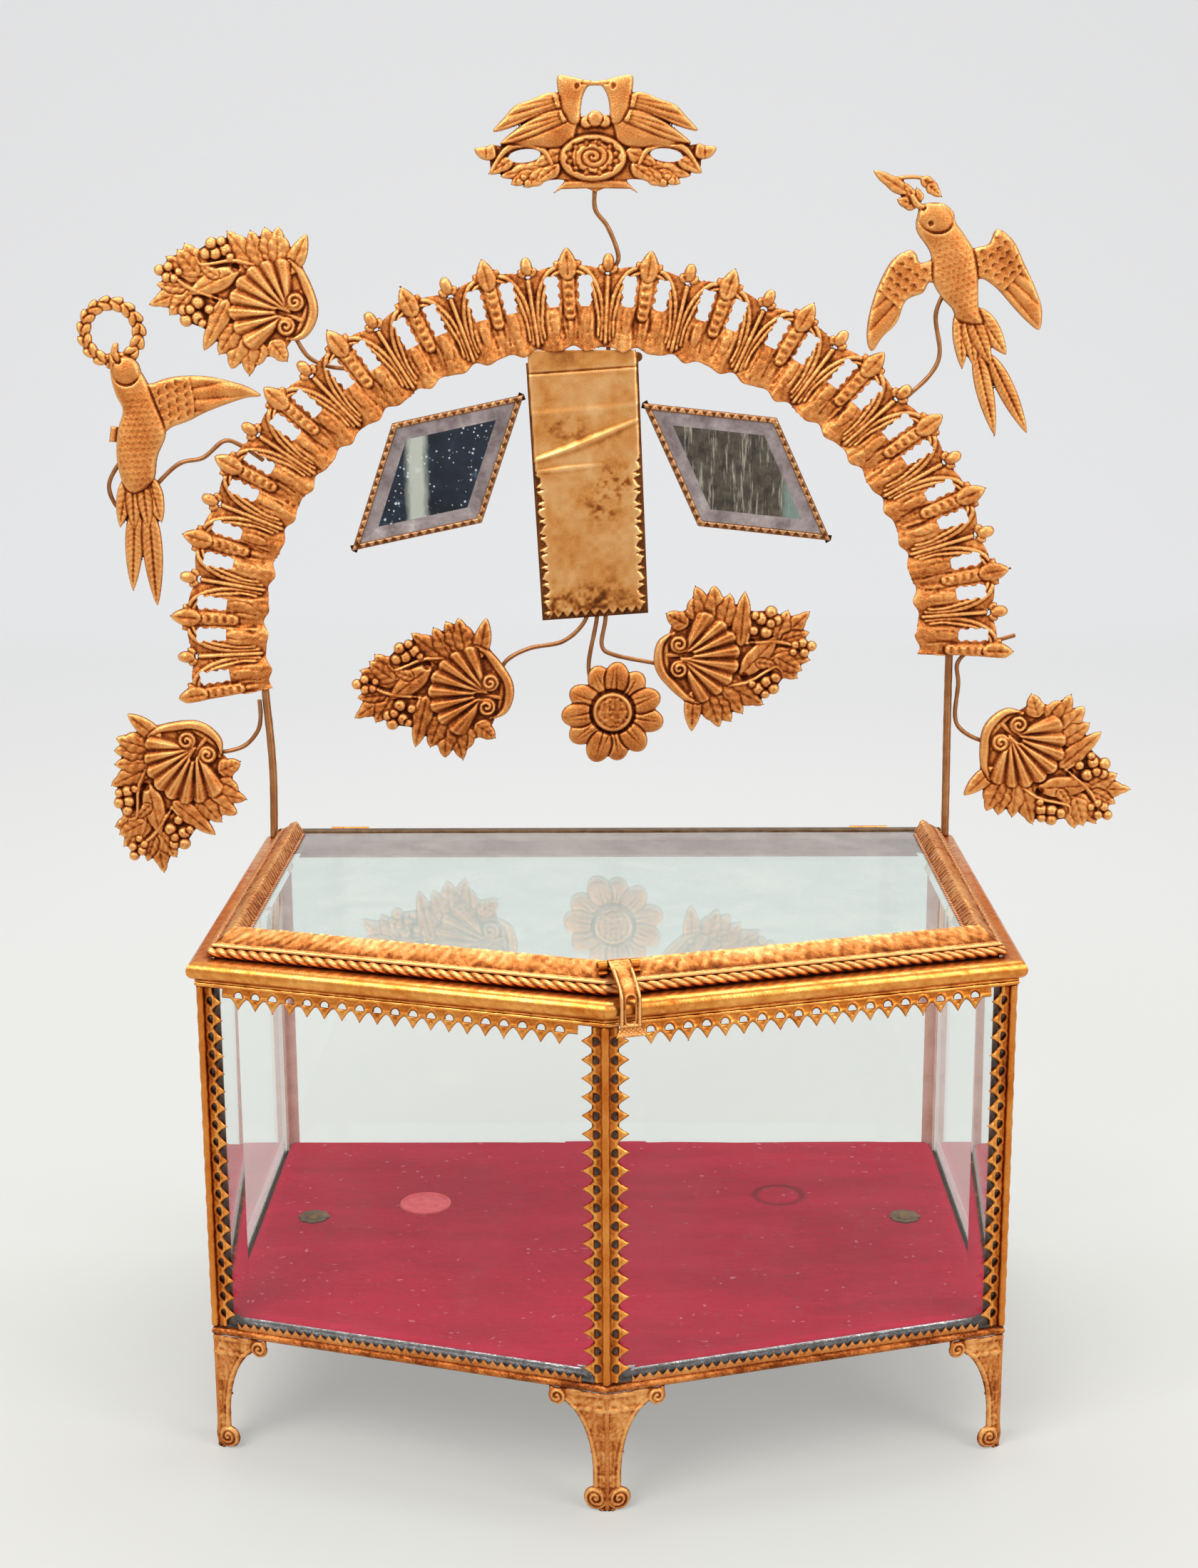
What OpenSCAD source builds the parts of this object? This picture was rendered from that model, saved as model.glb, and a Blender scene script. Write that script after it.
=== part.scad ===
// Five-sided glass casket with a hinged lid, a velvet floor and a tall crest of stamped ornaments.
// Millimetres, +X right, +Y towards the back, +Z up. The feet stand on z = 0.
// Plan corners run: 0 back left, 1 front left, 2 front, 3 front right, 4 back right.
// Side i runs from corner i to the next: 0 left, 1 front left, 2 front right, 3 right, 4 back.

/* [Casket] */
// Width between the outer faces of the side panes
body_w = 280; // [200:1:340]
// Depth of the parallel sides
side_d = 172; // [140:1:210]
// How far the front vertex stands in front of the side panes
bow_d = 44; // [30:1:70]
// Height of the panes
pane_h = 136.6; // [100:0.1:170]
// Height of the panes above the ground
foot_h = 44; // [36:1:60]

/* [Glass] */
// Thickness of the glass
glass_t = 4; // [3.4:0.1:5]
// Thickness left at a bevelled edge
edge_t = 2; // [1.2:0.1:2.4]
// Width of the bevels
bevel_w = 12; // [10:0.5:16]

/* [Trim] */
// Thickness of the stamped strips
trim_t = 0.6; // [0.4:0.05:0.8]
// Pitch of the dog teeth
tooth_pitch = 6.4; // [5:0.1:8]
// Length of the dog teeth
tooth_l = 6.6; // [5:0.1:8]
// Pitch of the small teeth on the sills
sill_tooth_pitch = 3.2; // [2.4:0.1:5]
// Diameter of the half-round rim moulding
mould_d = 6.4; // [5:0.1:7]
// Diameter of the ridge bead on the corner posts
bead_d = 3.2; // [2.6:0.1:3.6]
// Width of the strip that each post shows inside the casket
inner_leg = 4; // [3:0.5:6]

/* [Feet] */
// Width of a foot's wing at the top
wing_w = 20.5; // [16:0.5:24]
// Thickness of the foot sheet
foot_t = 1; // [0.8:0.1:1.4]
// Radius of the scroll at the bottom of a foot
toe_r = 4.2; // [3.4:0.1:5]

/* [Floor] */
// Thickness of the bottom plate
base_t = 0.6; // [0.5:0.1:1.2]
// Thickness of the velvet pad
pad_t = 5.3; // [3:0.1:8]
// Diameter of the red disc
disc_d = 20; // [14:0.5:26]
// Diameter of the rosette studs
stud_d = 12; // [9:0.5:15]

/* [Lid] */
// Inset of the lid's edge from the body outline
lid_inset = 3.6; // [3.6:0.1:5]
// Gap between the closed lid and the rim
lid_gap = 0.3; // [0.3:0.05:0.6]
// Outer slope of the lid rail, measured level
rail_w = 7.5; // [6:0.1:9]
// Height of the rail's ridge above the lid's underside
rail_h = 9.2; // [8:0.1:10.5]
// Diameter of the rope trim
rope_d = 3.4; // [2.6:0.1:3.8]

/* [Hinges and hasp] */
// Distance of each hinge from the middle
hinge_x = 107.5; // [60:0.5:115]
// Length of a hinge
hinge_l = 15.4; // [12:0.2:20]
// Diameter of the hinge barrels
barrel_d = 2.6; // [2.4:0.1:3.2]
// Diameter of the hinge pins
pin_d = 1.2; // [1:0.05:1.4]
// Distance of the hasp from the front vertex
hasp_x = 7.3; // [6:0.1:20]
// Width of the hasp strip
hasp_w = 7.5; // [6:0.1:9]

/* [Crest] */
// Half height of the arch opening above its centre
arch_rz = 116.9; // [95:0.1:130]
// Height of the arch centre above the rim
arch_rise = 81.4; // [75:0.1:95]
// Offset of the arch centre to the left
arch_shift = 6.8; // [0:0.1:8]
// Radial width of the arch band without finials
band_w = 28; // [24:0.5:32]
// Number of pairs of pierced openings along the band
motifs = 16; // [12:1:20]
// Thickness of the stamped plates
plate_t = 1; // [0.8:0.1:1.2]
// Diameter of the wires
wire_d = 1.8; // [1.4:0.1:2.2]
// Diameter of the uprights
upright_d = 3.2; // [2.6:0.1:3.6]
// Clearance of the uprights from the lid
upright_gap = 0.4; // [0.3:0.05:1]

/* [Hidden] */
$fn = 48;
fit = 0.05;

hw = body_w / 2;
rim_over = 2.8;
hinge_y = rim_over + fit + barrel_d / 2;
rear_reach = 7.5;
front_reach = 4.6;
back_y = (side_d + bow_d + front_reach - rear_reach) / 2;
corners = [
  [-hw, back_y], [-hw, back_y - side_d], [0, back_y - side_d - bow_d], [hw, back_y - side_d], [hw, back_y]
];
mitre_far = 40;
tall = 300;

came_t = 0.6;
slope = (glass_t - edge_t) / bevel_w;
tilt = atan(slope);
tooth_band = 1.6;
cap_t = 0.7;
mould_r = mould_d / 2;
ridge_z = [-6.2, -7.3];
ridge_r = 0.6;
mould_h = 8.2;
rim_lip = 3;
sill_t = 0.8;
sill_lip = 2.4;
sill_ledge = 8;
sill_tooth_l = 3.2;

pane_z0 = foot_h;
pane_z1 = foot_h + pane_h;
rim_top = pane_z1 + cap_t;
floor_inset = glass_t + trim_t + 0.4;
pad_z = pane_z0 + base_t + fit;
pad_top = pad_z + pad_t;

lid_z = rim_top + lid_gap;
flange_t = 1.5;
lid_glass_z = lid_z + flange_t + fit;
rope_s = lid_inset + rope_d / 2;
lid_glass_s = rope_s + rope_d / 2 + trim_t + 2 * fit;
rail_foot = 3.6;
rail_inner = 3;
hinge_z = lid_z + barrel_d / 2;
leaf_t = 0.8;
knuckle_l = hinge_l * 0.35;
knuckle_gap = 0.3;
bore_d = pin_d + 0.1;

plate_y1 = back_y + 5.6;
wire_y = plate_y1 + wire_d / 2 + fit;
upright_x = hw - lid_inset + upright_gap + upright_d / 2;
arch_cx = -arch_shift;
arch_cz = rim_top + arch_rise;
arch_rx = upright_x - 5.3;
arch_from = -2;
arch_to = 188.4;
end_lap = 1;
// Anchors that each group of ornaments is placed from, as [x, z]
at_top = arch_at(87, 1);
at_right = arch_at(41, 1);
at_left = arch_at(148, 1);
at_upper_left = arch_at(128, 1);
at_middle = arch_at(91, 0);
at_left_foot = [-upright_x, rim_top];
at_right_foot = [upright_x, rim_top];
upright_left_bend = [[0, 0.3], [0, 24], [-1, 41], [-2.6, 58], [-2.8, 71]];
upright_right_bend = [[0, 0.3], [0.3, 20], [0.5, 38], [0.8, 58], [0.8, 77]];

lozenge_side = 54;
lozenge_half = 29.5;
frame_d = 2.8;
frame_lip = 2.2;
mirror_t = 1.6;
mirror_inset = 0.8;
mirror_z = 0.5;
// Each as the place and turn of its lozenge
left_lozenge = [at_middle + [-24, -18.5], 221.4];
right_lozenge = [at_middle + [23, -22], -36];

// Wires behind the plates, each as a list of [x, z] from its anchor
crest_wires = [
  [at_top, [[-6, 34], [-6, 25], [-1, 18], [3, 7], [0.5, 1], [-1, -9], [-1, -24], [-1.5, -41]]],
  [at_right, [[18, 42], [15, 33], [17, 19], [14, 11], [6, 3], [-5, -6]]],
  [at_left, [[-42, -19], [-39, -14.5], [-29, -5.5], [-19, -3], [-10.5, 3.5], [-4, 2], [5, -4]]],
  [at_left, [[-48, -1], [-53.5, -6], [-57.5, -14], [-55, -22], [-48.5, -26]]],
  [at_upper_left, [[-19, 10], [-17, 5.5], [-12.5, -1], [-5, -4.5], [6.5, -6.5], [12, -13]]],
  [at_left_foot, [[-31, 34.5], [-20.5, 34.5], [-12, 37], [-6.5, 43], [-5, 49], [-5.2, 56]]],
  [at_right_foot, [
    [24.5, 37.5], [14.5, 38.5], [6.5, 43], [3.9, 49], [4.8, 62], [4.4, 71], [11.5, 77], [27, 82]
  ]],
  [at_middle, [[1, -98], [0, -109], [-9, -118], [-23, -121], [-32.5, -126], [-36, -133]]],
  [at_middle, [[4.5, -96], [4.5, -108.5], [1, -129], [5, -140]]],
  [at_middle, [[8, -98], [8, -109], [6.5, -120], [12, -124], [29, -127.5], [38, -130]]]
];

hasp_d = 3;
hasp_s = rope_s + 3.7;
hasp_bore = pin_d + 0.1;
hasp_axis_z = lid_z + rail_h - 0.4;
hasp_t = 1;
hasp_front = -rim_over - 0.5;
hasp_low = lid_z - 11.6;
hasp_ear = 3;
hasp_leaf = [4.5, 1.2];

// Places on the floor, from the middle and from the back
disc_at = [-72, 73];
stud_inset = [25.5, 85];

brass = [0.79, 0.5, 0.25];
gold = [0.88, 0.63, 0.31];
copper = [0.72, 0.42, 0.26];
dark_brass = [0.42, 0.21, 0.08];
glass_colour = [0.8, 0.92, 0.88, 0.35];
velvet = [0.66, 0.14, 0.25];
red = [0.85, 0.23, 0.29];
mirror_colour = [0.35, 0.38, 0.42];

// ---- Plan geometry ----

function unit(v) = v / norm(v);
function before(i) = (i + 4) % 5;
function after(i) = (i + 1) % 5;
function along(i) = unit(corners[after(i)] - corners[i]);
function inward(i) = [-along(i)[1], along(i)[0]];
function side_l(i) = norm(corners[after(i)] - corners[i]);
function side_angle(i) = atan2(along(i)[1], along(i)[0]);
// Tangent of half the angle through which the outline turns at corner i
function half_turn(i) = tan(acos(along(before(i)) * along(i)) / 2);
// Point at x along side i from corner i and y inwards
function from_start(i, x, y) = corners[i] + along(i) * x + inward(i) * y;
// Point at x back along the side before corner i and y inwards
function from_end(i, x, y) = corners[i] - along(before(i)) * x + inward(before(i)) * y;
function inset_corner(i, d) = from_start(i, d * half_turn(i), d);
function outline(d) = [for (i = [0:4]) inset_corner(i, d)];
// Distance from corner i to the end of a pane
function setback(i) = glass_t * half_turn(i) + came_t + fit;
// Where the two bevels at corner i would meet
function arris_y(i) = (glass_t - edge_t + setback(i) * slope) / (1 + half_turn(i) * slope);
// Width along a side that a corner post covers
function post_reach(i) = arris_y(i) * half_turn(i) + tooth_band + tooth_l + 0.3;

module on_side(i) translate(corners[i]) rotate(side_angle(i)) children();

// Frame at corner i; the mirrored one looks back along the side before it
module at_corner(i, mirrored) {
  translate(corners[i])
    rotate(side_angle(mirrored ? before(i) : i))
      mirror([mirrored ? 1 : 0, 0, 0]) children();
}

// Bar along side i with mitred ends, from a profile drawn as [inwards, up]
module mitred_bar(i) {
  reach = 10;
  intersection() {
    on_side(i) translate([-reach, 0, 0]) rotate([90, 0, 90]) linear_extrude(side_l(i) + 2 * reach) children();
    translate([0, 0, -tall / 2]) linear_extrude(tall) polygon([
      inset_corner(i, mitre_far), inset_corner(after(i), mitre_far),
      inset_corner(after(i), -mitre_far / 2), inset_corner(i, -mitre_far / 2)
    ]);
  }
}

// ---- Curves ----

function oval(rx, rz, n = 24) = [for (k = [0:n - 1]) [rx * cos(360 * k / n), rz * sin(360 * k / n)]];
function knot(a, b, c, d, t) =
  0.5 * (2 * b + (c - a) * t + (2 * a - 5 * b + 4 * c - d) * t * t + (3 * b - a - 3 * c + d) * t * t * t);
// Closed smooth outline through the points p
function closed_curve(p, n = 4) = let (m = len(p))
  [for (i = [0:m - 1], k = [0:n - 1]) knot(p[(i + m - 1) % m], p[i], p[(i + 1) % m], p[(i + 2) % m], k / n)];
// Open smooth path through the points p
function open_curve(p, n = 3) = let (m = len(p))
  concat([for (i = [0:m - 2], k = [0:n - 1])
    knot(p[max(i - 1, 0)], p[i], p[i + 1], p[min(i + 2, m - 1)], k / n)], [p[m - 1]]);

// Direction of the path p at point i
function heading(p, i) = unit(p[min(i + 1, len(p) - 1)] - p[max(i - 1, 0)]);

// Round tube swept along a path
module tube(path, d, sides) {
  n = len(path);
  rings = [for (i = [0:n - 1])
    let (t = heading(path, i), u = unit(cross(t, [0, 1, 0])), v = cross(u, t))
    for (k = [0:sides - 1]) path[i] + d / 2 * (u * cos(360 * k / sides) + v * sin(360 * k / sides))];
  walls = [for (i = [0:n - 2], k = [0:sides - 1])
    [i * sides + k, i * sides + (k + 1) % sides, (i + 1) * sides + (k + 1) % sides, (i + 1) * sides + k]];
  caps = [[for (k = [sides - 1:-1:0]) k], [for (k = [0:sides - 1]) (n - 1) * sides + k]];
  polyhedron(rings, concat(walls, caps));
}

// ---- Stamped strips ----

// Dog-tooth strip of length l hanging below y = 0: a straight band, then pointed teeth with
// a half-oval hole over each tip
module dog_teeth(l, band) {
  n = floor(l / tooth_pitch);
  x0 = (l - n * tooth_pitch) / 2;
  function tooth(x) = [
    [x + 0.5 * tooth_pitch, -band - 0.12 * tooth_l], [x + 0.44 * tooth_pitch, -band - 0.5 * tooth_l],
    [x + 0.2 * tooth_pitch, -band - 0.82 * tooth_l], [x, -band - tooth_l],
    [x - 0.2 * tooth_pitch, -band - 0.82 * tooth_l], [x - 0.44 * tooth_pitch, -band - 0.5 * tooth_l]
  ];
  difference() {
    polygon(concat(
      [[0, -band - 0.12 * tooth_l], [0, 0], [l, 0], [l, -band - 0.12 * tooth_l]],
      [for (k = [n - 1:-1:0], p = tooth(x0 + (k + 0.5) * tooth_pitch)) p],
      [[x0, -band - 0.12 * tooth_l]]
    ));
    for (k = [0:n - 1])
      translate([x0 + (k + 0.5) * tooth_pitch, -band - 0.4 * tooth_l])
        polygon([for (a = [0:30:180]) [0.24 * tooth_pitch * cos(a), 0.3 * tooth_l * sin(a)]]);
  }
}

// Small triangular teeth of length l standing on y = 0
module small_teeth(l) {
  n = floor(l / sill_tooth_pitch);
  x0 = (l - n * sill_tooth_pitch) / 2;
  polygon(concat(
    [[0, 0]],
    [for (k = [0:n - 1], p = [[0.06, 0.3], [0.5, 1], [0.94, 0.3]])
      [x0 + (k + p[0]) * sill_tooth_pitch, p[1] * sill_tooth_l]],
    [[l, 0]]
  ));
}

// ---- Panes, posts, rims, sills and feet ----

module pane(i) {
  l = side_l(i) - setback(i) - setback(after(i));
  color(glass_colour) on_side(i) translate([setback(i), 0, pane_z0]) hull() {
    translate([0, glass_t - edge_t, 0]) cube([l, edge_t, pane_h]);
    translate([bevel_w, 0, bevel_w]) cube([l - 2 * bevel_w, glass_t, pane_h - 2 * bevel_w]);
  }
}

// Corner post: a came between the panes, an inner angle strip, two dog-tooth strips on the
// bevels and a ridge bead over the fold
module corner_post(i) {
  z0 = pane_z0 + sill_lip + fit;
  h = pane_z1 - mould_h - fit - z0;
  s = setback(i) - fit;
  y_in = glass_t + fit;
  arris = [arris_y(i) * half_turn(i), arris_y(i)];
  half = [[s, glass_t - edge_t + fit], [s, y_in], [s + inner_leg, y_in], [s + inner_leg, y_in + trim_t]];
  bead_out = 0.75 * bead_d / 2 / sqrt(1 + pow(half_turn(i), 2));
  strip_inset = 0.2;
  color(gold) {
    translate([0, 0, z0]) linear_extrude(h) polygon(concat(
      [inset_corner(i, arris_y(i))],
      [for (p = half) from_start(i, p[0], p[1])],
      [inset_corner(i, y_in + trim_t)],
      [for (k = [3:-1:0]) from_end(i, half[k][0], half[k][1])]
    ));
    translate(inset_corner(i, arris_y(i) - bead_out)) translate([0, 0, z0]) cylinder(d = bead_d, h = h);
    for (mirrored = [false, true])
      at_corner(i, mirrored) translate([arris[0], arris[1] - fit, z0 + strip_inset]) rotate(-tilt)
        translate([-0.2, 0, 0]) rotate([90, 0, 0]) linear_extrude(trim_t)
          rotate(90) dog_teeth(h - 2 * strip_inset, tooth_band);
  }
}

// Section of a bevelled edge with the glass below y = 0, grown by the fit
module edge_section() polygon([
  [glass_t - edge_t - fit, fit], [glass_t + fit, fit], [glass_t + fit, -20], [-fit, -20], [-fit, -bevel_w]
]);

module rim_profile() {
  y_in = glass_t + fit;
  function on_bevel(z) = glass_t - edge_t - fit + z * slope;
  difference() {
    union() {
      translate([mould_r - rim_over, cap_t - mould_r]) circle(mould_r);
      translate([mould_r - rim_over, fit]) square([y_in + trim_t - mould_r + rim_over, cap_t - fit]);
      translate([y_in, -rim_lip]) square([trim_t, rim_lip + cap_t]);
      for (z = ridge_z) translate([on_bevel(z) - trim_t, z]) circle(ridge_r);
      polygon([
        [on_bevel(-3), -3], [on_bevel(-mould_h), -mould_h],
        [on_bevel(-mould_h) - trim_t, -mould_h], [on_bevel(-3) - trim_t, -3]
      ]);
    }
    edge_section();
  }
}

module rim(i) {
  x0 = post_reach(i);
  l = side_l(i) - x0 - post_reach(after(i));
  color(gold) {
    translate([0, 0, pane_z1]) mitred_bar(i) rim_profile();
    on_side(i) translate([x0, glass_t - edge_t - fit - (mould_h - 0.5) * slope, pane_z1 - mould_h + 0.5])
      rotate([-tilt, 0, 0]) rotate([90, 0, 0]) linear_extrude(trim_t) dog_teeth(l, 1);
  }
}

module sill_profile() {
  lip_y = glass_t - edge_t - fit;
  difference() {
    union() {
      translate([lip_y - 1.2, -sill_t]) square([sill_ledge + 1.2 + edge_t, sill_t - fit]);
      translate([lip_y - 0.5, sill_t - 0.2]) circle(1.4);
      polygon([
        [lip_y, -sill_t], [lip_y, 0], [lip_y - sill_lip * slope, sill_lip],
        [lip_y - sill_lip * slope - trim_t, sill_lip], [lip_y - trim_t, -sill_t]
      ]);
    }
    mirror([0, 1]) edge_section();
    translate([-5, -sill_t - 3]) square([20, 3]);
  }
}

module sill(i) {
  x0 = post_reach(i);
  l = side_l(i) - x0 - post_reach(after(i));
  color(brass) {
    translate([0, 0, pane_z0]) mitred_bar(i) sill_profile();
    on_side(i) translate([x0, glass_t - edge_t - fit - (sill_lip - 0.4) * slope, pane_z0 + sill_lip - 0.4])
      rotate([tilt, 0, 0]) rotate([90, 0, 0]) linear_extrude(trim_t) small_teeth(l);
  }
}

// Quarter oval that cuts the wing's outer edge, from the top tip down to the neck
function wing_edge(h, grow) = let (cx = wing_w - 1.5, cz = -0.7 * h)
  [for (a = [90:7.5:180]) [cx + (cx - 5 + grow) * cos(a), cz + (0.61 * h + grow) * sin(a)]];

module wing_outline(h) {
  polygon(concat(
    [[0, -h], [0, 0], [wing_w, 0], [wing_w, -0.06 * h]],
    wing_edge(h, 0), [[5, -h + 1.5 * toe_r], [2 * toe_r - 1, -h + toe_r], [toe_r, -h]]
  ));
  translate([wing_w - 2.6, -3]) circle(3);
  translate([toe_r, -h + toe_r]) circle(toe_r);
}

// Foot: two scrolled wings bent along the corner, with ribs, scroll bosses and a fold bead
module foot(i) {
  h = pane_z0 - sill_t - fit;
  foot_y = 0.8;
  rib = 0.5;
  fold_gap = 0.1;
  fold_d = 1.8;
  fold_low = 0.3;
  color(brass) {
    for (mirrored = [false, true])
      intersection() {
        at_corner(i, mirrored) translate([0, foot_y + foot_t, h]) rotate([90, 0, 0]) {
          linear_extrude(foot_t) wing_outline(h);
          linear_extrude(foot_t + rib) {
            polygon(concat(wing_edge(h, 0), [for (k = [12:-1:0]) wing_edge(h, 1.3)[k]]));
            translate([2, -1.4]) square([wing_w - 3, 1.2]);
            translate([wing_w - 2.6, -3]) circle(1.8);
            translate([toe_r, -h + toe_r]) circle(toe_r - 1.8);
          }
        }
        at_corner(i, mirrored) linear_extrude(tall) polygon([
          [fold_gap - mitre_far * half_turn(i), -mitre_far], [90, -mitre_far],
          [90, mitre_far], [fold_gap + mitre_far * half_turn(i), mitre_far]
        ]);
      }
    translate(inset_corner(i, foot_y + foot_t / 2)) cylinder(d = fold_d, h = h - fold_low);
  }
}

// ---- Floor ----

module base_plate() {
  color(dark_brass) translate([0, 0, pane_z0]) linear_extrude(base_t) polygon(outline(floor_inset));
}

module velvet_pad() {
  color(velvet) translate([0, 0, pad_z]) linear_extrude(pad_t) polygon(outline(floor_inset + 0.3));
}

module red_disc() {
  ring_w = 1.2;
  rim_h = 1.2;
  color(red) translate([disc_at[0], back_y - disc_at[1], pad_top + fit]) rotate_extrude() polygon([
    [0, 0], [disc_d / 2, 0], [disc_d / 2, rim_h - 0.4], [disc_d / 2 - 0.4, rim_h],
    [disc_d / 2 - ring_w + 0.3, rim_h], [disc_d / 2 - ring_w, 0.7], [0, 0.9]
  ]);
}

module floor_studs() {
  petals = 8;
  petal_r = 0.19 * stud_d;
  color(dark_brass)
    for (side = [-1, 1]) translate([side * (hw - stud_inset[0]), back_y - stud_inset[1], pad_top + fit]) {
      cylinder(d = stud_d - 2 * petal_r, h = 0.7);
      for (k = [0:petals - 1])
        rotate(360 * k / petals) translate([stud_d / 2 - petal_r, 0, 0]) cylinder(r = petal_r, h = 0.6);
      rotate_extrude() polygon(concat(
        [[0, 0]], [for (a = [0:15:90]) 0.24 * stud_d * [cos(a), 0.7 * sin(a)]]
      ));
    }
}

// ---- Hinges ----

module barrel(x0, x1, d)
  translate([x0, back_y + hinge_y, hinge_z]) rotate([0, 90, 0]) cylinder(d = d, h = x1 - x0);

module body_hinges() {
  leaf_y = back_y + rim_over + fit;
  leaf_h = 10.6;
  leaf_top = 0.4;
  color(gold) for (side = [-1, 1]) translate([side * hinge_x, 0, 0]) difference() {
    union() {
      barrel(-knuckle_l / 2, knuckle_l / 2, barrel_d);
      translate([-hinge_l / 2, leaf_y, rim_top - leaf_top - leaf_h]) cube([hinge_l, leaf_t, leaf_h]);
      translate([-knuckle_l / 2, leaf_y, rim_top - 1]) cube([knuckle_l, leaf_t, hinge_z - rim_top + 1]);
    }
    barrel(-hinge_l, hinge_l, bore_d);
  }
}

module lid_hinges() {
  x_in = knuckle_l / 2 + knuckle_gap;
  y0 = back_y - lid_glass_s - 4;
  color(gold) for (side = [-1, 1]) translate([side * hinge_x, 0, 0]) difference() {
    union() {
      translate([-hinge_l / 2, y0, lid_z]) cube([hinge_l, back_y + rim_over - knuckle_gap - y0, leaf_t]);
      for (x = [-hinge_l / 2, x_in]) {
        barrel(x, x + hinge_l / 2 - x_in, barrel_d);
        translate([x, y0, lid_z]) cube([hinge_l / 2 - x_in, back_y + hinge_y - y0, leaf_t]);
      }
    }
    barrel(-hinge_l, hinge_l, bore_d);
  }
}

module hinge_pins() {
  color(copper) for (side = [-1, 1]) translate([side * hinge_x, 0, 0])
    barrel(-hinge_l / 2 - 0.4, hinge_l / 2 + 0.4, pin_d);
}

// ---- Lid ----

module lid_glass() {
  color(glass_colour) translate([0, 0, lid_glass_z]) hull() {
    linear_extrude(edge_t) polygon(outline(lid_glass_s));
    linear_extrude(glass_t) polygon(outline(lid_glass_s + bevel_w));
  }
}

// Section of the lid glass grown by the fit, drawn as [inset, height above the lid's underside]
module lid_glass_section() {
  z = flange_t + fit;
  polygon([
    [lid_glass_s - fit, z - fit], [lid_glass_s + 30, z - fit], [lid_glass_s + 30, z + glass_t + fit],
    [lid_glass_s + bevel_w, z + glass_t + fit], [lid_glass_s - fit, z + edge_t + fit]
  ]);
}

function lid_top(s) = flange_t + fit + edge_t + (s - lid_glass_s) * slope;

module rail_profile() {
  crest_s = rope_s + rail_w;
  inner_s = crest_s + rail_inner;
  difference() {
    union() {
      polygon(concat(
        [[rope_s, 0], [lid_glass_s + 5, 0], [lid_glass_s + 5, flange_t], [inner_s, flange_t + 2]],
        [[inner_s, lid_top(inner_s) + trim_t], [crest_s + 0.8, rail_h - 0.5]],
        [[crest_s, rail_h], [crest_s - 0.9, rail_h - 0.3], [rope_s, rail_foot]]
      ));
      translate([rope_s + 0.9, rail_foot + 0.3]) circle(0.8);
    }
    lid_glass_section();
    translate([rope_s, rope_d / 2]) circle(rope_d / 2 + fit);
  }
}

// Scalloped edge of length l on y = 0
module scallops(l) {
  pitch = 3.2;
  depth = 1.5;
  n = floor(l / pitch);
  x0 = (l - n * pitch) / 2;
  polygon(concat(
    [[0, -1], [l, -1], [l, 0]],
    [for (k = [n - 1:-1:0], a = [0:30:180]) [x0 + (k + 0.5 + 0.48 * cos(a)) * pitch, depth * sin(a)]],
    [[0, 0]]
  ));
}

module lid_rail(i) {
  inner_s = rope_s + rail_w + rail_inner;
  x0 = inner_s * half_turn(i) + 2;
  l = side_l(i) - x0 - (inner_s + 2) * max(half_turn(after(i)), 0.2) - 2;
  color(copper) {
    translate([0, 0, lid_z]) mitred_bar(i) rail_profile();
    on_side(i) translate([x0, inner_s, lid_z + lid_top(inner_s) + fit]) rotate([tilt, 0, 0])
      linear_extrude(trim_t) scallops(l);
  }
}

// Thin strip folded round the back edge of the lid glass
module lid_rail_back() {
  low = leaf_t + fit;
  color(dark_brass) translate([0, 0, lid_z]) mitred_bar(4) difference() {
    polygon([
      [lid_inset, low], [lid_glass_s + 5, low], [lid_glass_s + 5, flange_t],
      [lid_glass_s + 3, lid_top(lid_glass_s + 3) + trim_t], [lid_inset + 1, lid_top(lid_glass_s) + trim_t],
      [lid_inset, lid_top(lid_glass_s) - 0.4]
    ]);
    lid_glass_section();
  }
}

// Rope round the lid's lower edge, drawn here as a plain round bead
module lid_rope() {
  color(copper) translate([0, 0, lid_z]) for (i = [0:3])
    mitred_bar(i) translate([rope_s, rope_d / 2]) circle(rope_d / 2, $fn = 12);
}

// ---- Hasp ----

module on_hasp() on_side(2) translate([hasp_x, 0, 0]) children();

module hasp_barrel(x0, x1, d)
  translate([x0, hasp_s, hasp_axis_z]) rotate([0, 90, 0]) cylinder(d = d, h = x1 - x0);

// Two knuckles on a small leaf soldered on the rail's slope
module hasp_hinge() {
  x_out = hasp_w / 2 + knuckle_gap + hasp_ear;
  rise = (rail_h - 0.3 - rail_foot) / (rail_w - 0.9);
  leaf_z = rail_foot + (hasp_s - rope_s) * rise + 0.1;
  color(gold) on_hasp() difference() {
    union() {
      for (side = [0, 1]) mirror([side, 0, 0]) {
        hasp_barrel(x_out - hasp_ear, x_out, hasp_d);
        translate([x_out - hasp_ear, hasp_s, lid_z + leaf_z]) rotate([atan(rise), 0, 0])
          translate([0, -hasp_d / 2, 0]) cube([hasp_ear, hasp_leaf[0], hasp_leaf[1]]);
      }
    }
    hasp_barrel(-x_out, x_out, hasp_bore);
  }
}

module hasp_pin() {
  x_out = hasp_w / 2 + knuckle_gap + hasp_ear + 0.4;
  color(copper) on_hasp() hasp_barrel(-x_out, x_out, pin_d);
}

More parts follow.
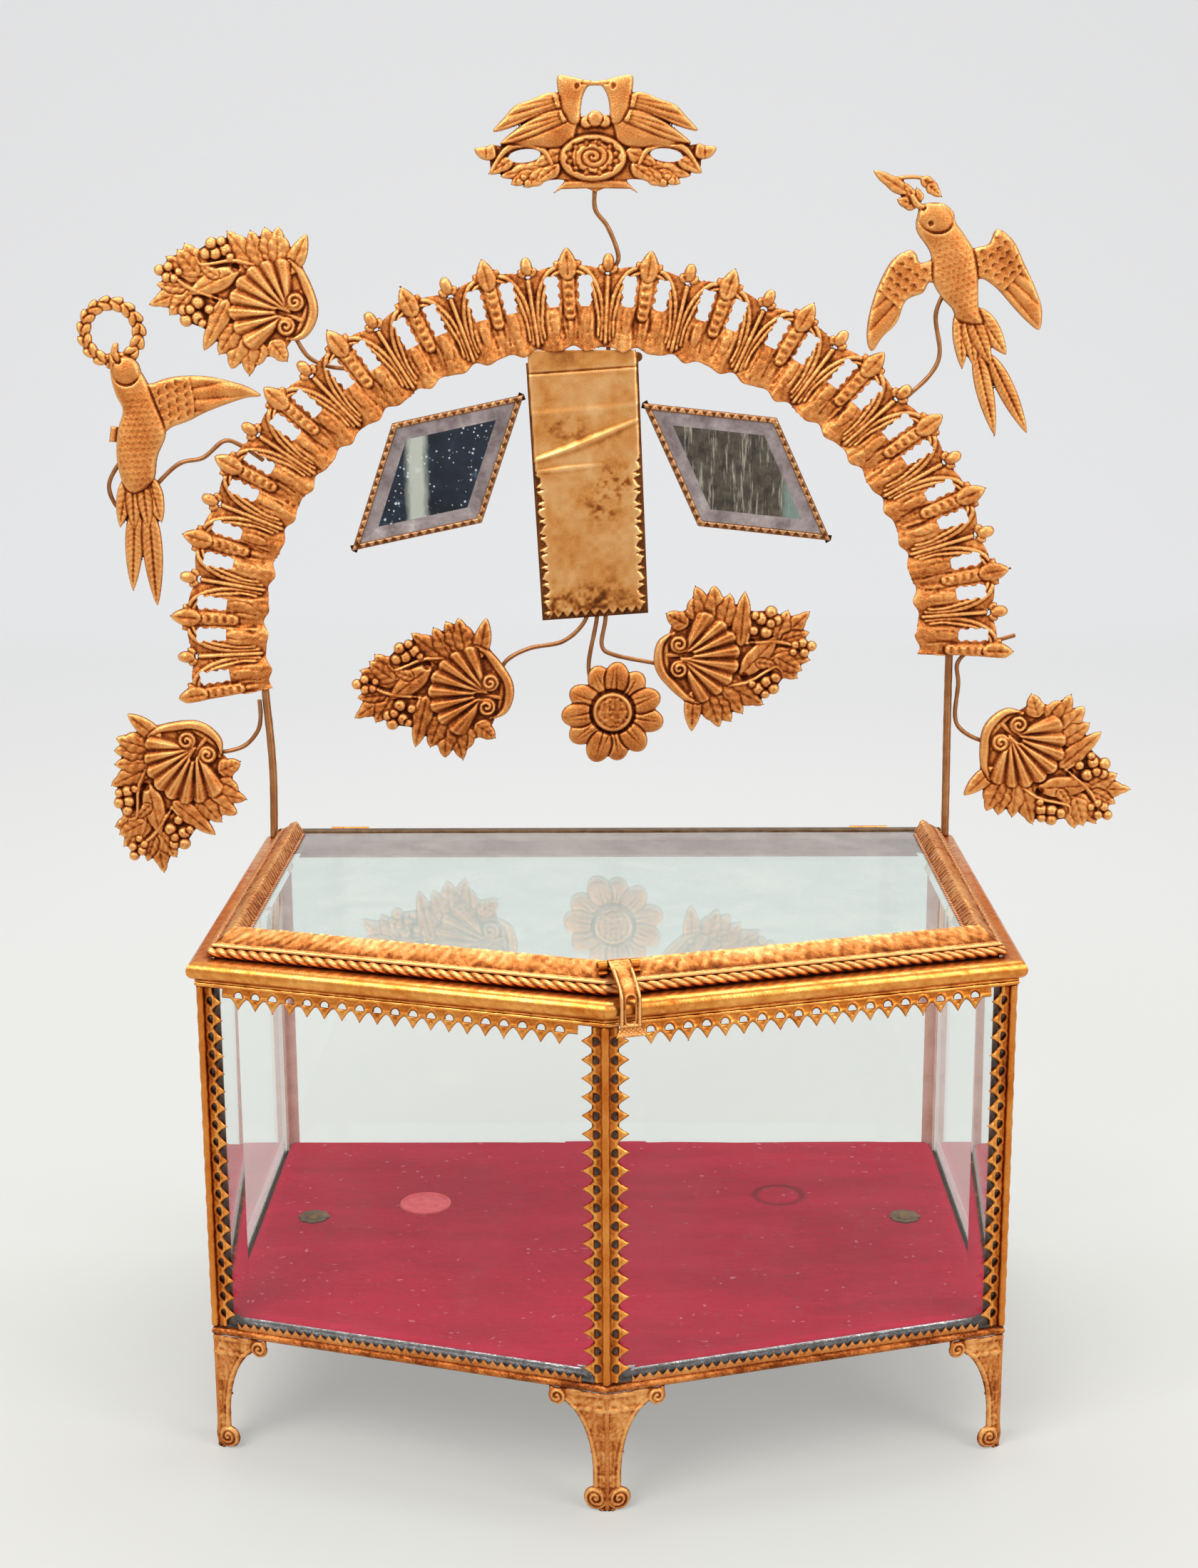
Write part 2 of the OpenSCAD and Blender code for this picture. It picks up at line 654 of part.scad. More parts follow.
// Barrel, bent strip with raised rails, slot, and a flared end
module hasp() {
  drop_z = lid_z + 2.4;
  strip = [
    [hasp_s - 0.6, hasp_axis_z + hasp_d / 2], [hasp_s - 2.4, hasp_axis_z + hasp_d / 2 - 0.4],
    [hasp_front + 1.2, drop_z + 1.6], [hasp_front, drop_z]
  ];
  flare_z = lid_z - 5;
  slot = [3, 7.5];
  color(gold) on_hasp() difference() {
    union() {
      hasp_barrel(-hasp_w / 2, hasp_w / 2, hasp_d);
      translate([-hasp_w / 2, 0, 0]) rotate([90, 0, 90]) linear_extrude(hasp_w) polygon(concat(
        [for (p = strip) [p[0] - 0.5 * hasp_t, p[1]]],
        [[hasp_front - hasp_t, drop_z - 3], [hasp_front, drop_z - 3]],
        [[hasp_front, drop_z - 0.6], [hasp_front + 1.6, drop_z + 0.6], [hasp_s - 1, hasp_axis_z + 0.2]]
      ));
      translate([0, hasp_front, 0]) rotate([90, 0, 0]) linear_extrude(hasp_t) difference() {
        polygon([
          [-hasp_w / 2, drop_z], [-hasp_w / 2, flare_z], [-hasp_w / 2 - 0.4, hasp_low + 3],
          [-hasp_w / 2 - 1.4, hasp_low], [hasp_w / 2 + 1.4, hasp_low], [hasp_w / 2 + 0.4, hasp_low + 3],
          [hasp_w / 2, flare_z], [hasp_w / 2, drop_z]
        ]);
        translate([-slot[0] / 2, flare_z]) square(slot);
        translate([0, flare_z]) circle(slot[0] / 2);
      }
      for (side = [0, 1]) mirror([side, 0, 0])
        translate([hasp_w / 2 - 0.9, hasp_front - hasp_t - 0.4, flare_z]) cube([0.9, 0.6, drop_z - flare_z]);
    }
    hasp_barrel(-hasp_w, hasp_w, hasp_bore);
  }
}

// ---- Crest ----

// Point on the arch band at angle a: k = 0 on its inner edge, k = 1 on its outer edge
function arch_at(a, k) =
  [arch_cx + (arch_rx + k * band_w) * cos(a), arch_cz + (arch_rz + k * band_w) * sin(a)];
// Crest plane: x to the right, y up, z towards the front, with z = 0 on the backs of the plates
module on_crest(p = [0, 0], turn = 0)
  translate([p[0], plate_y1, p[1]]) rotate([90, 0, 0]) rotate(turn) children();

// Round rod lying in the face of a plate, from p to q
module rod(p, q, d) {
  translate([p[0], p[1], plate_t + 0.1]) rotate([0, 90, atan2(q[1] - p[1], q[0] - p[0])])
    cylinder(d = d, h = norm(q - p), $fn = 24);
}

// Pointed leaf or feather from p to q, w wide
module leaf(p, q, w) {
  l = norm(q - p);
  translate(p) rotate(atan2(q[1] - p[1], q[0] - p[0]))
    polygon(closed_curve([
      [0, 0], [0.3 * l, 0.45 * w], [0.7 * l, 0.4 * w], [l, 0], [0.7 * l, -0.4 * w], [0.3 * l, -0.45 * w]
    ], 3));
}

function wire_path(at, p) = open_curve([for (q = p) [at[0] + q[0], wire_y, at[1] + q[1]]]);

// Uprights lean back, up to the last point but one, so that the band stands in front of their tops
function upright_path(at, bend) =
  let (y0 = back_y - upright_d / 2 + 0.4, y1 = plate_y1 + upright_d / 2 + fit, top = bend[len(bend) - 2][1])
  open_curve([for (q = bend) [at[0] + q[0], y0 + (y1 - y0) * min(q[1] / top, 1), at[1] + q[1]]], 2);

module upright_left() color(brass) tube(upright_path(at_left_foot, upright_left_bend), upright_d, 12);
module upright_right() color(brass) tube(upright_path(at_right_foot, upright_right_bend), upright_d, 12);

// Angle of ridge m on the band, in steps of even length along the curve
function ridge_angle(m) =
  let (a = arch_rx + band_w / 2, b = arch_rz + band_w / 2, t = arch_from + m * (arch_to - arch_from) / motifs)
  t + 45 / PI * (a * a - b * b) / (a * a + b * b) * sin(2 * t);

// Strip w wide along a line of points
module ribbon(p, w) {
  n = len(p);
  function aside(i) = let (t = heading(p, i)) w / 2 * [-t[1], t[0]];
  polygon(concat([for (i = [0:n - 1]) p[i] + aside(i)], [for (i = [n - 1:-1:0]) p[i] - aside(i)]));
}

// Pleated band. A ridge under a tall finial parts each pair of pierced openings, a raised strip
// climbs on both sides of the pair and closes over it in a round head, and a stem with a bud
// stands between two heads. Widths along the band are in motifs, with the ridges at whole numbers.
module arch_band() {
  fine = 24;
  opening = [5.2, 12];
  opening_k = 0.78;
  opening_u = 0.2;
  stem = 0.5;
  rise = 0.8;
  strip = [[0.45, 0.16], [0.455, 0.42], [0.42, 0.66], [0.34, 0.88], [0.22, 1.03], [0.07, 1.09]];
  function spike(d, h, w, sharp) = h * pow(max(1 - d / w, 0), sharp);
  function head(d) = 0.97 + 0.15 * sqrt(max(1 - pow(d / 0.46, 3), 0));
  function edge(d) = head(d) + spike(d, 0.25, 0.1, 0.8) + spike(stem - d, 0.28, 0.07, 0.5);
  outer = [for (m = [0:motifs - 1], k = [0:fine - 1])
    arch_at(ridge_angle(m + k / fine), edge(min(k, fine - k) / fine))];
  inner = [for (m = [motifs:-1 / 8:0]) arch_at(ridge_angle(m), 0.015 * cos(720 * m) - 0.015)];
  right = ridge_angle(0) - end_lap;
  left = ridge_angle(motifs) + end_lap;
  color(brass) on_crest() {
    linear_extrude(plate_t) difference() {
      polygon(concat(
        [arch_at(right, 0.02), arch_at(right, 1.1)], outer,
        [arch_at(ridge_angle(motifs), edge(0)), arch_at(left, 1.1), arch_at(left, 0.02)], inner
      ));
      for (m = [0:motifs - 1], u = [opening_u, 1 - opening_u]) {
        c = arch_at(ridge_angle(m + u), opening_k);
        translate(c) rotate(atan2(c[1] - arch_cz, c[0] - arch_cx) - 90) pierced(opening);
      }
    }
    linear_extrude(plate_t + rise) for (m = [0:motifs - 1], side = [0, 1])
      ribbon(open_curve([for (p = strip) arch_at(ridge_angle(m + abs(side - p[0])), p[1])], 2), 1.5);
    for (m = [0:motifs]) rod(arch_at(ridge_angle(m), 0.5), arch_at(ridge_angle(m), 1.22), 2);
    for (m = [0:motifs - 1]) {
      rod(arch_at(ridge_angle(m + stem), 0.06), arch_at(ridge_angle(m + stem), 1.16), 1.8);
      for (u = [opening_u, 1 - opening_u])
        rod(arch_at(ridge_angle(m + u), 0.03), arch_at(ridge_angle(m + u), 0.5), 2.1);
    }
  }
}

// Upright opening with round ends and a slight swell at mid height
module pierced(size) polygon(closed_curve([
  [0, size[1] / 2], [-0.45 * size[0], 0.4 * size[1]], [-size[0] / 2, 0], [-0.45 * size[0], -0.4 * size[1]],
  [0, -size[1] / 2], [0.45 * size[0], -0.4 * size[1]], [size[0] / 2, 0], [0.45 * size[0], 0.4 * size[1]]
], 2));

// Shell and vine stamping: the shell fans out along +x from the hinge at the origin
module spray_stamping() {
  flutes = 8;
  fan = [-62, 55];
  shell_r = 18;
  leaves = [
    [[-4, 12], [-9, 19.5], 7], [[2, 15], [2, 29], 10], [[13, 14], [23.5, 25], 9], [[18, 9], [34, 18], 9],
    [[30, 6], [49.5, 15], 10], [[30, -3], [50.5, -11.5], 11], [[20, -12], [31, -24], 10],
    [[10, -17], [19, -32], 10], [[0, -18], [0, -33], 8], [[16, 0], [36, 4], 12], [[20, -6], [37, -8], 10],
    [[8, 14], [10, 24], 9], [[20, 4], [28, -16], 14]
  ];
  berries = [
    [32, 16], [35, 13], [29, 13], [49, 3], [46, -1], [51, -2], [33, -14], [36, -17], [30, -18], [42, 4], [45, 6]
  ];
  ground = [
    [-7, 8], [-3, 17], [4, 22], [12, 19], [22, 18], [30, 17], [42, 13], [49, 5], [49, -4], [38, -13],
    [27, -19], [15, -24], [4, -25], [-3, -20], [-9, -8]
  ];
  function flute_angle(k) = fan[0] + (k + 0.5) * (fan[1] - fan[0]) / flutes;
  intersection() {
    union() {
      linear_extrude(plate_t) {
        polygon(concat(
          [[-4, -8], [-5, 0], [-4, 8]], [for (a = [fan[1]:-6:fan[0]]) (shell_r + 2) * [cos(a), sin(a)]]
        ));
        polygon(closed_curve(ground, 3));
        for (f = leaves) leaf(f[0], f[1], f[2]);
        for (b = berries) translate(b) circle(2.4);
        polygon(concat(
          [for (a = [152:8:272]) [7.5, -2.5] + 19.5 * [cos(a), sin(a)]],
          [for (a = [272:-8:152]) [7.5, -2.5] + 16.2 * [cos(a), sin(a)]]
        ));
      }
      for (k = [0:flutes - 1]) rotate(flute_angle(k)) translate([4, 0, plate_t - 0.6]) rotate([0, 90, 0])
        cylinder(h = shell_r - 2, r1 = 0.7, r2 = 2.3);
      for (b = berries) translate([b[0], b[1], plate_t - 0.4]) sphere(1.9, $fn = 24);
      for (f = leaves) rod(f[0] + 0.2 * (f[1] - f[0]), f[0] + 0.85 * (f[1] - f[0]), 1.2);
      linear_extrude(plate_t + 0.8) polygon(concat(
        [for (a = [160:8:264]) [7.5, -2.5] + 19 * [cos(a), sin(a)]],
        [for (a = [264:-8:160]) [7.5, -2.5] + 17 * [cos(a), sin(a)]]
      ));
      for (side = [-1, 1]) translate([-3.4, side * 5.4, 0]) {
        cylinder(r = 3.3, h = plate_t + 0.7);
        cylinder(r = 1.5, h = plate_t + 1.3);
      }
      translate([-4.6, -4, 0]) cube([2.4, 8, plate_t + 0.7]);
    }
    translate([-60, -60, 0]) cube([120, 120, 6]);
  }
}

module spray(at, offset, turn) color(brass) on_crest(at + offset, turn) spray_stamping();

// One dove with its scroll, left of the line on which the beaks touch
module dove() {
  body = [
    [0, 27], [-3, 28], [-9, 29.5], [-14.5, 29], [-13.5, 23], [-19.5, 23], [-29, 20], [-35, 14.5], [-39, 8.5],
    [-33, 10], [-36.5, 5], [-33, 3], [-38.5, -1.5], [-41, -7], [-34.5, -1.5], [-37, -7], [-32.5, -9],
    [-28.5, -12], [-23, -10], [-18.5, -9], [-13.5, -11], [-17, -14.5], [-8.5, -13], [0.1, -12.5], [0.1, 16.5],
    [-2.5, 15], [-5, 15.5], [-4, 18.5], [-2.5, 22.5], [0.1, 26]
  ];
  linear_extrude(plate_t) difference() {
    union() {
      polygon(body);
      leaf([-36, 0], [-46, 2], 6);
    }
    translate([-27.5, 0]) polygon(oval(6, 2.4));
  }
  linear_extrude(plate_t + 0.7) {
    leaf([-9, 18], [-37, 7], 8);
    leaf([-12, 21], [-36, 12.5], 6);
    translate([-9, 25]) polygon(oval(4.4, 3.2));
    leaf([-13, 4], [-30, 6], 9);
  }
  for (k = [0:3]) rod([-16 - 2 * k, 15.6 - 1.2 * k], [-27 - 2.6 * k, 12.2 - 1.5 * k], 1.2);
  for (p = [[-20, -6], [-24, -8], [-29, -9.5], [-34, -5]]) translate(p) cylinder(r = 1.8, h = plate_t + 0.9);
}

module doves() {
  color(brass) on_crest(at_top + [-5.8, 45]) {
    for (side = [0, 1]) mirror([side, 0, 0]) dove();
    linear_extrude(plate_t + 1.2) difference() {
      polygon(oval(13, 8.6, 36));
      polygon(oval(11, 6.8, 36));
    }
    linear_extrude(plate_t + 0.6) polygon(oval(11.5, 7.3, 36));
    for (k = [0:4]) rotate(72 * k) translate([2.6, 0, 0]) cylinder(r = 1.4, h = plate_t + 1.1);
    cylinder(r = 1.9, h = plate_t + 1.6);
    translate([0, 13.5, 0]) cylinder(r = 3.4, h = plate_t + 0.9);
    for (side = [-1, 1]) translate([side * 3.6, 13, 0]) cylinder(r = 2, h = plate_t + 0.5);
  }
}

// Bird plate: body and wing outlines, tail feathers, and rods for the feather rows
module bird(body, wings, tail, quills) {
  linear_extrude(plate_t) {
    polygon(closed_curve(body, 3));
    for (w = wings) polygon(closed_curve(w, 3));
    for (f = tail) leaf(f[0], f[1], f[2]);
  }
  for (q = quills) rod(q[0], q[1], 1.3);
}

module bird_right() {
  body = [
    [6.5, 73], [9.5, 76], [18.5, 76], [21, 70], [25, 64], [30.5, 52], [31.5, 35], [34, 30], [42.5, 18.5],
    [29, 14], [25.5, 13.5], [22, 32], [15.5, 42], [11.5, 58], [6.5, 66.5]
  ];
  right_wing = [
    [28, 58], [34.5, 60.5], [37, 65.5], [40, 65.5], [45, 61], [49, 53], [53.5, 44], [56.5, 35.5],
    [55.5, 28], [50.5, 31], [45, 36.5], [39, 43], [33.5, 47], [29, 48]
  ];
  left_wing = [
    [16, 55], [8.5, 53.5], [3.5, 58], [-2.5, 55], [-7, 47.5], [-10, 39.5], [-12, 30.5], [-12, 23],
    [-10, 20], [-6, 25], [-0.5, 30.5], [3, 39], [9.5, 45], [17, 45]
  ];
  tail = [[[31, 18], [39.5, -13.5], 7], [[36, 18], [52, -12.5], 7], [[24, 30], [25.5, 12], 5]];
  quills = [
    [[37, 60], [54, 33]], [[35, 57], [50, 34]], [[33, 53], [45, 38]], [[0, 54], [-10, 24]], [[3, 52], [-6, 28]],
    [[6, 49], [-1, 34]], [[34, 10], [39, -9]], [[39, 12], [49, -7]]
  ];
  color(brass) on_crest(at_right) {
    bird(body, [right_wing, left_wing], tail, quills);
    linear_extrude(plate_t + 0.8)
      polygon(closed_curve([[12, 70], [18, 70], [26, 52], [27, 36], [22, 38], [16, 48]], 3));
    linear_extrude(plate_t) {
      leaf([5, 78], [-10.5, 88], 6);
      leaf([9, 73.5], [-2, 79], 6);
      leaf([13, 74], [15, 85], 6);
      polygon(closed_curve([[-4, 84], [6, 86.5], [14, 84], [13, 82], [6, 84.6], [-3, 82.2]], 2));
    }
    translate([11, 70.5, 0]) cylinder(r = 1, h = plate_t + 1.2);
  }
}

module bird_left() {
  body = [
    [-51.5, 41], [-46.5, 33.5], [-40, 29], [-34.5, 15.5], [-32.5, 7], [-37, -3.5], [-39, -11.5], [-35, -28],
    [-44, -31], [-52, -29.5], [-50.5, -15.5], [-53, 1], [-50, 12.5], [-53, 26.5]
  ];
  wing = [
    [-40, 24], [-26.5, 29], [-15.5, 28.5], [-5.5, 26.5], [6, 21.5], [-3.5, 19.5], [-18, 14.5], [-30, 9], [-37, 9]
  ];
  tail = [[[-46.5, -24], [-48.5, -56], 7], [[-40.5, -24], [-39, -62.5], 8]];
  quills = [
    [[-32, 24], [0, 22]], [[-32, 20], [-8, 19.5]], [[-32, 16], [-16, 17]], [[-47, -34], [-48, -50]],
    [[-40, -34], [-39.3, -56]]
  ];
  wreath = [-53, 45.5];
  wreath_r = 11;
  leaves = 16;
  color(brass) on_crest(at_left) {
    bird(body, [wing], tail, quills);
    linear_extrude(plate_t + 0.8)
      polygon(closed_curve([[-47, 30], [-41, 22], [-37, 8], [-42, -10], [-48, -12], [-49, 4], [-47, 16]], 3));
    translate([-55.6, 4, 0]) cube([5, 7, plate_t]);
    translate(wreath) {
      linear_extrude(plate_t) difference() {
        circle(wreath_r + 1.6);
        circle(wreath_r - 1.6);
      }
      for (k = [0:leaves - 1])
        rotate(360 * k / leaves) translate([wreath_r, 0, 0]) cylinder(r = 1.9, h = plate_t + 0.8);
    }
  }
}

module flower() {
  petals = 11;
  flower_r = 20.4;
  petal_r = 5;
  turns = [for (k = [0:petals - 1]) 17 + 360 * k / petals];
  disc_r = 8.2;
  color(brass) on_crest(at_middle + [10.8, -147]) {
    linear_extrude(plate_t) {
      circle(flower_r - petal_r);
      for (a = turns) rotate(a) translate([flower_r - petal_r, 0]) circle(petal_r);
    }
    linear_extrude(plate_t + 0.6) for (a = turns) rotate(a) leaf([6.5, 0], [flower_r - 0.6, 0], 6.4);
    rotate_extrude() polygon([
      [0, 0], [disc_r, 0], [disc_r, plate_t + 0.9], [disc_r - 0.8, plate_t + 1.2],
      [disc_r - 1.6, plate_t + 0.8], [0, plate_t + 1.1]
    ]);
  }
}

// Centre plate with a toothed head that meets the arch, and toothed folded edges
module centre_plate() {
  w = 45;
  h = 103;
  n = 14;
  lip = 2.6;
  color(gold) on_crest(at_middle + [2, -56.5], 4) {
    linear_extrude(plate_t) {
      translate([-w / 2, -h / 2]) square([w, h]);
      for (k = [0:4]) translate([-11.5 + 5 * k, h / 2]) circle(2.1);
    }
    for (side = [0, 1]) mirror([side, 0, 0]) linear_extrude(plate_t + 0.6) polygon(concat(
      [[-w / 2, -h / 2], [-w / 2, h / 2]],
      [for (k = [0:n - 1], p = [[0.3, 0], [1, 0.5]]) [-w / 2 + lip * p[0], h / 2 - (k + p[1]) * h / n]],
      [[-w / 2 + lip * 0.3, -h / 2]]
    ));
  }
}

// Lozenge with one corner at the origin, pointing along +x, drawn in by d
function lozenge(d) =
  let (c = [lozenge_side * cos(lozenge_half), 0], k = 1 - d / (c[0] * sin(lozenge_half)))
  [for (p = [[-1, 0], [0, -tan(lozenge_half)], [1, 0], [0, tan(lozenge_half)]]) c + c[0] * k * p];
// The same with each edge broken into teeth
function toothed_lozenge(d, depth, n) = let (p = lozenge(d), q = lozenge(d + depth))
  [for (i = [0:3], k = [0:n - 1], f = [0, 0.5])
    f == 0 ? p[i] + (p[(i + 1) % 4] - p[i]) * k / n : q[i] + (q[(i + 1) % 4] - q[i]) * (k + 0.5) / n];

module mirror_frame(spot) {
  color(copper) on_crest(spot[0], spot[1]) difference() {
    linear_extrude(frame_d) polygon(lozenge(0));
    translate([0, 0, mirror_z]) linear_extrude(mirror_t + 2 * fit) polygon(lozenge(mirror_inset - fit));
    translate([0, 0, -1]) linear_extrude(2) polygon(lozenge(4));
    translate([0, 0, 1]) linear_extrude(frame_d) polygon(toothed_lozenge(frame_lip, 1.6, 10));
  }
}

module mirror_glass(spot) {
  color(mirror_colour) on_crest(spot[0], spot[1]) translate([0, 0, mirror_z + fit])
    linear_extrude(mirror_t) polygon(lozenge(mirror_inset));
}

module crest_wires() color(copper) for (w = crest_wires) tube(wire_path(w[0], w[1]), wire_d, 8);

// ---- Nodes ----

base_plate();
velvet_pad();
red_disc();
floor_studs();
pane(0);  // glass_left
pane(1);  // glass_front_left
pane(2);  // glass_front_right
pane(3);  // glass_right
pane(4);  // glass_back
corner_post(0);  // post_back_left
corner_post(1);  // post_front_left
corner_post(2);  // post_front
corner_post(3);  // post_front_right
corner_post(4);  // post_back_right
rim(0);  // rim_left
rim(1);  // rim_front_left
rim(2);  // rim_front_right
rim(3);  // rim_right
rim(4);  // rim_back
sill(0);  // sill_left
sill(1);  // sill_front_left
sill(2);  // sill_front_right
sill(3);  // sill_right
sill(4);  // sill_back
foot(0);  // foot_back_left
foot(1);  // foot_front_left
foot(2);  // foot_front
foot(3);  // foot_front_right
foot(4);  // foot_back_right
body_hinges();
hinge_pins();
upright_left();
upright_right();
arch_band();
doves();
bird_right();
bird_left();
flower();
centre_plate();
crest_wires();
spray(at_upper_left, [-22, 17.5], 161);  // spray_upper_left
spray(at_left_foot, [-33.5, 34], 238);  // spray_lower_left
spray(at_right_foot, [28.5, 39], -40);  // spray_lower_right
spray(at_middle, [-43.5, -139], 175);  // spray_inner_left
spray(at_middle, [41.5, -124.5], 4);  // spray_inner_right
mirror_frame(left_lozenge);  // mirror_frame_left
mirror_frame(right_lozenge);  // mirror_frame_right
mirror_glass(left_lozenge);  // mirror_left
mirror_glass(right_lozenge);  // mirror_right
lid_glass();
lid_rail(0);  // lid_rail_left
lid_rail(1);  // lid_rail_front_left
lid_rail(2);  // lid_rail_front_right
lid_rail(3);  // lid_rail_right
lid_rail_back();
lid_rope();
lid_hinges();
hasp_hinge();
hasp_pin();
hasp();
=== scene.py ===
from math import cos, pi, radians, sin

import bpy
import numpy as np
from mathutils import Matrix, Vector


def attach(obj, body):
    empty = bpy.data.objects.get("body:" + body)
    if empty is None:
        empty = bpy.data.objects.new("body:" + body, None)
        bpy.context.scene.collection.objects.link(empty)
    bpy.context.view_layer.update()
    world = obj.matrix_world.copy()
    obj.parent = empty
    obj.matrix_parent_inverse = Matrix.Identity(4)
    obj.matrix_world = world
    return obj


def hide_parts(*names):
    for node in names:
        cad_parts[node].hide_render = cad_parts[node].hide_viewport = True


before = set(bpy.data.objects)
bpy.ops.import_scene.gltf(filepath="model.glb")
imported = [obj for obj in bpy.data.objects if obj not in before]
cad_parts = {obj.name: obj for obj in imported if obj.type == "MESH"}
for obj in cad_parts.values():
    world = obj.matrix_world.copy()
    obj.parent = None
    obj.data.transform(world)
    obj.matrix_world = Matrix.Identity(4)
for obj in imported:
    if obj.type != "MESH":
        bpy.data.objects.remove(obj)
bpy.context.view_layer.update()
mm = 0.001
print("stage 1: frame loaded")

cameraView = {"place": (6.3, -801.25, 411.9), "down": 12.95, "left": -0.65, "roll": -0.29, "lens": 52.02}
camera = bpy.data.objects.new("camera", bpy.data.cameras.new("camera"))
bpy.context.collection.objects.link(camera)
camera.data.lens = cameraView["lens"]
camera.data.sensor_width = 36
camera.data.clip_start = 0.05
camera.location = [v * mm for v in cameraView["place"]]
yaw, pitch, roll = (radians(cameraView[k]) for k in ("left", "down", "roll"))
forward = np.array([sin(yaw) * cos(pitch), cos(yaw) * cos(pitch), -sin(pitch)])
level = np.array([cos(yaw), -sin(yaw), 0])
upright = np.cross(level, forward)
side = cos(roll) * level + sin(roll) * upright
top = -sin(roll) * level + cos(roll) * upright
camera.rotation_euler = Matrix((side, top, -forward)).transposed().to_euler()
bpy.context.scene.camera = camera


def hexLinear(code):
    # sRGB hex to linear light
    c = np.array([int(code[i:i + 2], 16) for i in (1, 3, 5)]) / 255
    return (*np.where(c <= 0.04045, c / 12.92, ((c + 0.055) / 1.055) ** 2.4), 1.0)


def addNode(tree, kind, inputs=None, **settings):
    # one node, its settings, and its inputs: values, hex colours, sockets, or nodes for their first output
    node = tree.nodes.new("ShaderNode" + kind)
    for key, value in settings.items():
        setattr(node, key, value)
    for key, value in (inputs or {}).items():
        if isinstance(value, bpy.types.Node):
            value = value.outputs[0]
        if isinstance(value, bpy.types.NodeSocket):
            tree.links.new(value, node.inputs[key])
        else:
            node.inputs[key].default_value = hexLinear(value) if isinstance(value, str) else value
    return node


def newMaterial(name):
    # an empty material and its node tree
    material = bpy.data.materials.new(name)
    material.use_nodes = True
    material.node_tree.nodes.clear()
    return material, material.node_tree


def setRamp(node, stops):
    # stops are (position, hex colour); the ramp starts with two
    ramp = node.color_ramp
    while len(ramp.elements) < len(stops):
        ramp.elements.new(0.5)
    for element, (place, colour) in zip(ramp.elements, stops):
        element.position = place
        element.color = hexLinear(colour)


studio = {"worldLight": 0.62, "backdrop": "#EEEFF1", "floor": "#CFCFCA", "ownLight": 0.45}
world = bpy.data.worlds.new("studio")
bpy.context.scene.world = world
world.use_nodes = True
tree = world.node_tree
tree.nodes.clear()
rays = addNode(tree, "LightPath")
seen = addNode(tree, "Math", {0: rays.outputs["Is Camera Ray"], 1: rays.outputs["Is Transmission Ray"]},
               operation="MAXIMUM")
dim = addNode(tree, "Background", {"Color": (1, 0.985, 0.96, 1), "Strength": studio["worldLight"]})
pale = addNode(tree, "Background", {"Color": studio["backdrop"], "Strength": 1.0})
mixed = addNode(tree, "MixShader", {0: seen, 1: dim, 2: pale})
addNode(tree, "OutputWorld", {"Surface": mixed})

lamps = {
    "keyLight": {"place": (-0.75, -0.95, 1.35), "size": (0.9, 0.9), "power": 17, "aim": (0, 0, 0.2)},
    "fillLight": {"place": (1.1, -0.8, 0.9), "size": (0.7, 1.0), "power": 9, "aim": (0, 0, 0.2)},
    "topLight": {"place": (0.1, 0.35, 1.5), "size": (1.2, 0.8), "power": 12, "aim": (0, 0, 0.2)},
}
for name, lamp in lamps.items():
    data = bpy.data.lights.new(name, "AREA")
    data.shape = "RECTANGLE"
    data.size, data.size_y = lamp["size"]
    data.energy = lamp["power"]
    light = bpy.data.objects.new(name, data)
    bpy.context.collection.objects.link(light)
    light.location = lamp["place"]
    aim = np.array(lamp["aim"]) - np.array(lamp["place"])
    light.rotation_euler = Vector(aim).to_track_quat("-Z", "Y").to_euler()


def meshObject(name, points, faces, material, smooth=True, caps=(), crease=None):
    # points as rows of metres, faces as rows of point numbers, caps as rings of point numbers;
    # edges that turn by more than crease degrees are sharp
    mesh = bpy.data.meshes.new(name)
    faces = np.asarray(faces, dtype=np.int32)
    mesh.vertices.add(len(points))
    mesh.vertices.foreach_set("co", np.asarray(points, dtype=np.float32).ravel())
    order = np.concatenate([faces.ravel(), *caps]).astype(np.int32)
    starts = np.arange(0, faces.size, faces.shape[1])
    capStarts = faces.size + np.cumsum([0, *map(len, caps)])[:len(caps)]
    mesh.loops.add(len(order))
    mesh.loops.foreach_set("vertex_index", order)
    mesh.polygons.add(len(faces) + len(caps))
    mesh.polygons.foreach_set("loop_start", np.concatenate([starts, capStarts]).astype(np.int32))
    mesh.update(calc_edges=True)
    mesh.polygons.foreach_set("use_smooth", np.full(len(mesh.polygons), smooth))
    mesh.validate()
    if crease:
        mesh.set_sharp_from_angle(angle=radians(crease))
    piece = bpy.data.objects.new(name, mesh)
    bpy.context.collection.objects.link(piece)
    mesh.materials.append(material)
    return piece


def setTone(piece, values):
    # "relief" for each point: -1 is a hollow, darkened with grime and painted shade; 1 a rubbed ridge,
    # lightened with wear and painted highlight
    layer = piece.data.attributes.new("relief", "FLOAT", "POINT")
    layer.data.foreach_set("value", np.ravel(values).astype(np.float32))


def gridFaces(rows, columns, closeRows=False, closeColumns=False):
    # quads over a rows x columns grid of points, wrapped where asked
    r = np.arange(rows if closeRows else rows - 1)[:, None]
    c = np.arange(columns if closeColumns else columns - 1)[None, :]
    r2, c2 = (r + 1) % rows, (c + 1) % columns
    quads = np.stack(np.broadcast_arrays(r * columns + c, r * columns + c2, r2 * columns + c2,
                                         r2 * columns + c), -1)
    return quads.reshape(-1, 4)


